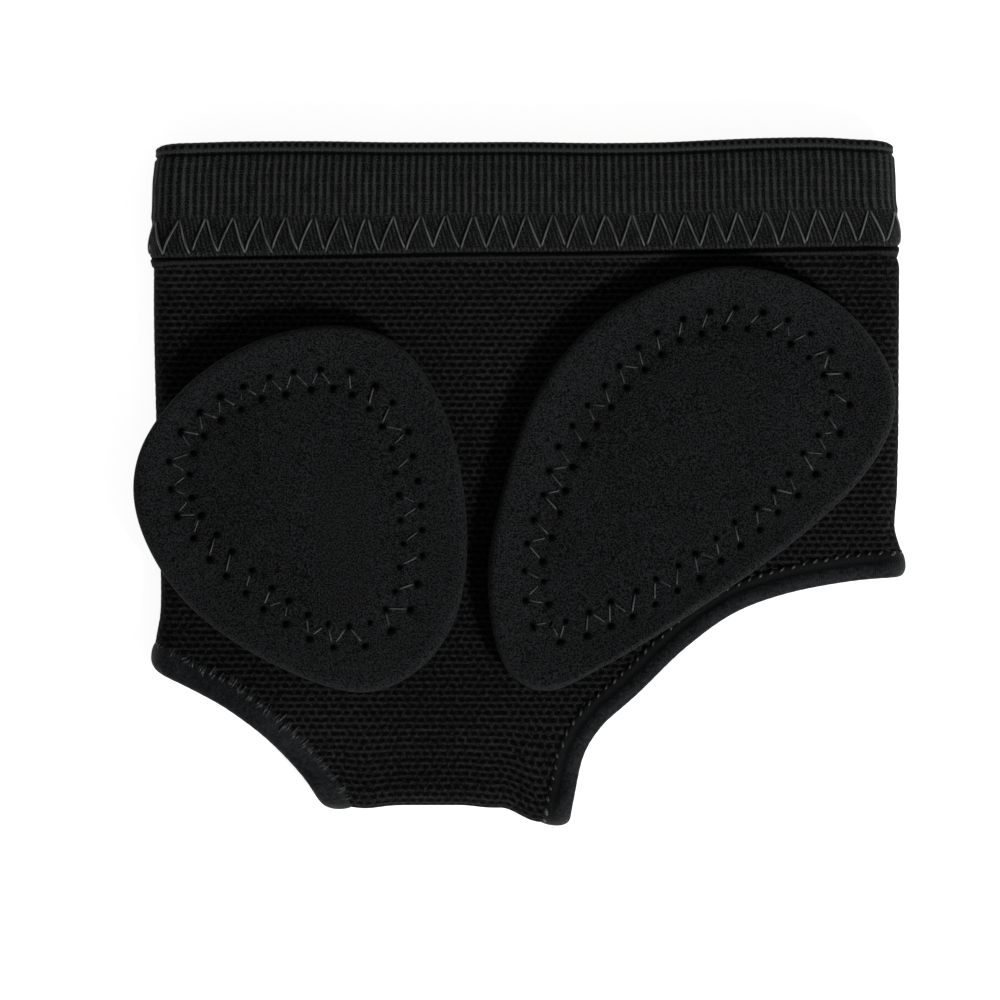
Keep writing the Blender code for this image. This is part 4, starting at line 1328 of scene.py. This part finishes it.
# %% Pad surface
RING_STITCH = 3.3
RING_WIDTH = 2.75         # between the two rows of needle holes
STITCH_ZONE = 2.3         # half width of the closely divided zone
POINTS_PER_STITCH = 16
HOLE_RADIUS = 0.47
HOLE_DEPTH_PAD = 1.0
FURROW_DEPTH = 0.22
PAD_SWELL = 0.05          # how much thicker the foam is in the middle, as a share
ROUNDED_EDGE = 0.7        # mm in from the rim where the border's rows still follow the rim
HIGH_LEG_SUNK, LOW_LEG_SUNK = 0.02, 0.20      # of the ring's thread, mm into the foam
DIVE_DEPTH, DIVE_REACH = 1.9, 0.50            # of the thread at a needle hole, mm

# Rows of points over the pad's middle, as shares of the way out to the stitch zone.
HUB_SHARES = np.array([0.12, 0.26, 0.40, 0.54, 0.68, 0.80, 0.90, 0.97])
# Rows over the border: mm in from the rim, and height as a share of the foam's thickness.
BORDER_ROWS = table(
    "inset height",
    (3.0, 1.005), (2.2, 1.01), (1.5, 1.00), (0.95, 0.975), (0.60, 0.935), (0.32, 0.87), (0.13, 0.79),
    (0.03, 0.70), (0.00, 0.60), (0.00, 0.46), (0.00, 0.32), (0.03, 0.20), (0.13, 0.115), (0.32, 0.055),
    (0.60, 0.02), (1.00, 0.00), (2.50, 0.00))


class FoamPad:
    """Lines and surface of one pad, worked out from its outline and its stitch ring."""

    def __init__(self, outline, ring, centre, size, phase):
        """Draws the ring and the rim from their tables, a rim point for every ring point, and
        how far each needle hole slips and how large it is. Phase is where an inner hole lies
        between two outer ones."""
        half = np.array(size) / 2
        self.centre = np.array(centre)
        self.phase = phase
        ring_points = np.column_stack((ring["across"], ring["along"])) * half + self.centre
        rim_points = np.column_stack((outline["across"], outline["along"])) * half + self.centre
        length = run_of(curve_through(ring_points, np.linspace(0, len(ring_points), 1200), True))[-1]
        self.stitches = int(round(length / RING_STITCH))
        self.around = self.stitches * POINTS_PER_STITCH
        shares = np.arange(self.around) / self.around
        self.ring = along_curve(ring_points, shares, closed=True, fine=2400)
        step = unit(np.roll(self.ring, -1, axis=0) - np.roll(self.ring, 1, axis=0))
        self.ring_out = np.column_stack((-step[:, 1], step[:, 0]))
        self.rim = self.rim_across(rim_points)
        rim_step = unit(np.roll(self.rim, -1, axis=0) - np.roll(self.rim, 1, axis=0))
        self.rim_out = np.column_stack((-rim_step[:, 1], rim_step[:, 0]))
        self.reach_in = self.inner_reach(length / self.around)
        self.slips = random.normal(0.0, 0.13, (2, self.stitches, 2))
        self.sizes = random.uniform(0.80, 1.15, (2, self.stitches))

    def inner_reach(self, step):
        """How far in from the ring the stitch zone goes: less than the ring's radius where it
        bends sharply, so that the rows never cross. Evened out over two stitches."""
        bend_rate = np.linalg.norm(np.roll(self.ring_out, -4, axis=0) - np.roll(self.ring_out, 4, axis=0),
                                   axis=1) / (8.0 * step)
        reach = np.minimum(STITCH_ZONE, 0.62 / np.maximum(bend_rate, 1e-6))
        window = np.arange(-POINTS_PER_STITCH, POINTS_PER_STITCH + 1)
        lowest = np.min([np.roll(reach, shift) for shift in window], axis=0)
        return np.clip(np.mean([np.roll(lowest, shift) for shift in window], axis=0), 1.75, STITCH_ZONE)

    def rim_across(self, rim_points):
        """Rim point that faces each ring point, by the angle round the pad's centre."""
        dense = along_curve(rim_points, np.linspace(0.0, 1.0, 3001)[:-1], closed=True, fine=4000)
        angles = np.unwrap(np.arctan2(*(dense - self.centre).T[::-1]))
        turn = -2.0 * np.pi
        wanted = np.unwrap(np.arctan2(*(self.ring - self.centre).T[::-1]))
        wanted = angles[0] + (wanted - angles[0]) % turn
        order = np.argsort(angles)
        angles, dense = angles[order], dense[order]
        angles = np.concatenate((angles + turn, angles, angles - turn))
        dense = np.tile(dense, (3, 1))
        return read_line(wanted, angles, dense)

    def seat(self, plan, border):
        """Underside of the pad over the front sheet, lifted towards its free border."""
        clear_hem = (HEM_THICKNESS - SLEEVE_WALL) / 2
        return (front_height(plan[..., 0], plan[..., 1]) + SLEEVE_WALL / 2 + CLEARANCE
                + (PAD_EDGE_LIFT + clear_hem) * smoothstep(border))

    def free_lift(self, offset):
        """How far the pad has come free of the cloth at an offset out from the ring, as a share
        of the way from the ring to the free border."""
        return smoothstep(offset / 8.0) * 0.6

    def furrow(self, offset):
        """Depth of the furrow that the whole ring of stitches pulls into the foam."""
        return FURROW_DEPTH * np.exp(-(offset / (RING_WIDTH * 0.62)) ** 4)

    def needle_holes(self, offset, number):
        """Depth shares of the needle holes at an offset from the ring and a count of stitches
        along it: outer holes at whole stitches, inner ones a phase later, each a little off
        its place and of its own size."""
        holes = np.zeros_like(offset * number)
        for row, (place, phase) in enumerate(((RING_WIDTH / 2, 0.0), (-RING_WIDTH / 2, self.phase))):
            nearest = np.round(number - phase).astype(int)
            slip = self.slips[row, nearest % self.stitches]
            along = (number - phase - nearest) * RING_STITCH - slip[..., 0]
            away = np.hypot(along, offset - place - slip[..., 1])
            away = away / (HOLE_RADIUS * self.sizes[row, nearest % self.stitches])
            holes = np.maximum(holes, np.exp(-away ** 2.6))
        return holes

    def on_ring(self, number, offset):
        """Plan points at a count of stitches along the ring and an offset out from it."""
        index = np.arange(self.around)
        line, out = (read_line(number * POINTS_PER_STITCH, index, values, self.around)
                     for values in (self.ring, self.ring_out))
        return line + out * offset[..., None]

    def stitched_top(self, plan, offset):
        """Top of the foam in the stitch zone, without the needle holes."""
        return self.seat(plan, self.free_lift(offset)) + PAD_THICKNESS - self.furrow(offset)

    def border_lines(self, outer_line):
        """Plan of the border's rows: straight in from the rim where the edge is rounded, and
        towards the stitch zone's outer line further in. Also how far towards it, as a share."""
        inset = BORDER_ROWS["inset"][:, None]
        share = np.clip(inset / np.linalg.norm(self.rim - outer_line, axis=1), 0.0, 0.92)
        from_rim = self.rim - self.rim_out * inset[..., None]
        towards_zone = self.rim + (outer_line - self.rim) * share[..., None]
        return np.where(inset[..., None] < ROUNDED_EDGE, from_rim, towards_zone), share

    def surface(self):
        """Rows of points from the middle of the top, across the ring, round the rim, and under
        to the middle again. Also for each point the depth share of its needle hole, for the painted
        shade in it, and how far out it is: 0 inside the ring, 1 on the border, 2 at the rim, where
        the extra share is a painted highlight."""
        number = np.arange(self.around) / POINTS_PER_STITCH
        offsets = np.linspace(-STITCH_ZONE, STITCH_ZONE, 21)[:, None]
        offsets = np.where(offsets < 0.0, offsets * self.reach_in / STITCH_ZONE, offsets)
        inner_line = self.ring + self.ring_out * offsets[0][:, None]
        hub = self.centre + (inner_line - self.centre) * HUB_SHARES[:, None, None]
        zone = self.ring + self.ring_out * offsets[..., None]
        border, towards_zone = self.border_lines(zone[-1])
        holes = self.needle_holes(offsets, number[None])
        hub_height = 1.0 + PAD_SWELL - PAD_SWELL * HUB_SHARES[:, None] ** 2
        top = np.concatenate((hub, zone, border))
        shares = np.concatenate((np.broadcast_to(hub_height, hub.shape[:2]),
                                 np.full(zone.shape[:2], 1.0),
                                 np.broadcast_to(BORDER_ROWS["height"][:, None], border.shape[:2])))
        lift = np.concatenate((np.zeros(hub.shape[:2]),
                               self.free_lift(offsets),
                               np.broadcast_to(1.0 - towards_zone * 0.9, border.shape[:2])))
        z = self.seat(top, lift) + PAD_THICKNESS * shares
        z[len(hub):len(hub) + len(zone)] -= self.furrow(offsets) + HOLE_DEPTH_PAD * holes
        dents = np.zeros(z.shape)
        dents[len(hub):len(hub) + len(zone)] = holes
        # Painted highlight: within about a millimetre and a half of the rim the border value rises to 2,
        # which the suede's colour turns into a paler rim.
        rim_highlight = 1.0 + smoothstep(1.4 - BORDER_ROWS["inset"])[:, None]
        outside = np.concatenate((np.zeros(hub.shape[:2]), smoothstep(offsets / 3.0 + 0.4),
                                  np.broadcast_to(rim_highlight, border.shape[:2]), np.ones((3, self.around))))
        under_plan = self.centre + (inner_line - self.centre) * np.array([1.0, 0.6, 0.25])[:, None, None]
        under = np.concatenate((under_plan, self.seat(under_plan, np.zeros(1))[..., None]), axis=2)
        rows = np.concatenate((np.concatenate((top, z[..., None]), axis=2), under))
        dents = np.concatenate((dents, np.zeros(under.shape[:2])))
        return rows, dents, outside

    def zigzag(self):
        """Legs of thread between outer and inner holes: straight in plan, steeply up out of one
        hole and down into the next, each sunk into the foam to a depth of its own. The short
        legs are pulled less tight, so they lie higher."""
        share = np.linspace(0.0, 1.0, 17)
        stitch = np.arange(self.stitches)
        outer_slip, inner_slip = self.slips
        outer_hole = self.on_ring(stitch + outer_slip[:, 0] / RING_STITCH,
                                  RING_WIDTH / 2 + outer_slip[:, 1])
        inner_hole = self.on_ring(stitch + self.phase + inner_slip[:, 0] / RING_STITCH,
                                  inner_slip[:, 1] - RING_WIDTH / 2)
        paths = []
        for start, end, way_in in ((outer_hole, inner_hole, 1.0),
                                   (inner_hole, np.roll(outer_hole, -1, axis=0), -1.0)):
            plan = start[:, None] + (end - start)[:, None] * share[:, None]
            offset = np.broadcast_to(way_in * RING_WIDTH / 2 * (1.0 - 2.0 * share), plan.shape[:2])
            depth = HIGH_LEG_SUNK if self.lies_high(way_in) else LOW_LEG_SUNK
            sunk = random.normal(depth, 0.08, (self.stitches, 1))
            reach = np.minimum(share, 1.0 - share) * np.linalg.norm(end - start, axis=1)[:, None]
            dive = DIVE_DEPTH * np.exp(-(reach / DIVE_REACH) ** 2.2)
            z = self.stitched_top(plan, offset) + 0.09 - sunk - dive
            paths.append(np.concatenate((plan, z[..., None]), axis=2))
        return np.concatenate(paths)

    def lies_high(self, way_in):
        """Whether the legs that run inwards (1) or outwards (-1) are the visible ones."""
        return (self.phase <= 0.5) == (way_in > 0.0)


def pad_arrays(pad):
    """Rows joined into quads, with a fan of triangles at the middle of the top and below."""
    rows, dents, outside = pad.surface()
    faces, _, _ = grid_faces(*rows.shape[:2], close_columns=True)
    count = rows.shape[0] * rows.shape[1]
    ring = np.arange(pad.around)
    after = np.roll(ring, -1)
    last = ring + count - pad.around
    fans = ([[count, a, b] for a, b in zip(ring, after)]
            + [[count + 1, b, a] for a, b in zip(last, np.roll(last, -1))])
    poles = np.array([[*pad.centre, rows[0, :, 2].mean() + 0.02], [*pad.centre, rows[-1, :, 2].mean()]])
    points = np.vstack((rows.reshape(-1, 3), poles))
    return (points, faces.tolist() + fans,
            {"needle_hole": np.append(dents.ravel(), [0.0, 0.0]),
             "border": np.append(outside.ravel(), [0.0, 1.0])})


# %% [markdown]
# Suede is short standing fibres, so it is dull from every side and grainy to the eye. Its
# finish is a noise as fine as the nap, mottled a little at two larger scales, a trace paler on
# the border with a painted highlight along the rim, and painted shade nearly black down in
# the needle holes.

# %% Suede finish, and both pads
ROUND_PAD_PHASE = 0.50
LONG_PAD_PHASE = 0.54


def suede_finish():
    """Suede: the nap, two coarser mottles and the border, with its painted rim highlight, add up to
    a light, which painted shade in the needle holes takes away again."""
    material, shader, _, place = new_finish("black_suede_foam", 0.95, 0.05, 0.02, 0.6)
    nap = noise(place, 4600.0, 3.0, 0.7)
    mottle = noise(place, 900.0, 3.0, 0.55)
    patches = noise(place, 90.0, 2.0)
    dent = place.node('ShaderNodeAttribute', {"attribute_name": "needle_hole"}, {}, out=2)
    border = place.node('ShaderNodeAttribute', {"attribute_name": "border"}, {}, out=2)
    # Painted highlight: the border value, up to 2 at the rim, lightens the colour there.
    light = (nap - 0.5) * 7.8 + (mottle - 0.5) * 0.5 + (patches - 0.5) * 0.4 + border * 0.12 + 0.38
    # Painted shade: the needle holes darken the colour towards black.
    colour = colour_mix(light.clamped() * (1.0 - dent).clamped(), grey(0.0012, 1.1), grey(0.0230, 1.1))
    finish_with(shader, colour, nap * 0.8 + mottle * 0.15, 0.8, 0.12 * MM)
    return material


SUEDE_FINISH = suede_finish()
round_pad = FoamPad(ROUND_PAD_OUTLINE, ROUND_PAD_RING,
                    (left_edge + ROUND_PAD_WIDTH / 2, -ROUND_PAD_DROP - ROUND_PAD_LENGTH / 2),
                    (ROUND_PAD_WIDTH, ROUND_PAD_LENGTH), ROUND_PAD_PHASE)
long_pad = FoamPad(LONG_PAD_OUTLINE, LONG_PAD_RING,
                   (right_edge - long_pad_width / 2, -LONG_PAD_DROP - LONG_PAD_LENGTH / 2),
                   (long_pad_width, LONG_PAD_LENGTH), LONG_PAD_PHASE)
for name, node, pad in (("round_pad_foam", "round_pad", round_pad),
                        ("long_pad_foam", "long_pad", long_pad)):
    pad_points, pad_faces, pad_attributes = pad_arrays(pad)
    build_piece(name, pad_points, pad_faces, SUEDE_FINISH, [node],
                attributes=pad_attributes, recalculate=True)
    print(name, pad.stitches, "stitches")

# %% [markdown]
# The ring's own thread is thin and half lost in the suede. One leg of most zigzags lies on
# top and catches the light, the other is pulled down between the fibres.

# %% Zigzag on the pads
PAD_THREAD_RADIUS = 0.115
zigzag_points, zigzag_faces, zigzag_uv = tubes(
    np.concatenate((round_pad.zigzag(), long_pad.zigzag())), PAD_THREAD_RADIUS)
build_piece("pad_zigzag_thread", zigzag_points, zigzag_faces,
            thread_finish("pad_thread", 0.012, 0.095), (), zigzag_uv, recalculate=True)

# %% [markdown]
#
# The sleeve is a tube of knit, twice its flat width round and as long as the sleeve with its
# strap; the band is a strip as long as the way round.

# %% Length of the band's way round, in metres
2.0 * HALF_ROUND * MM
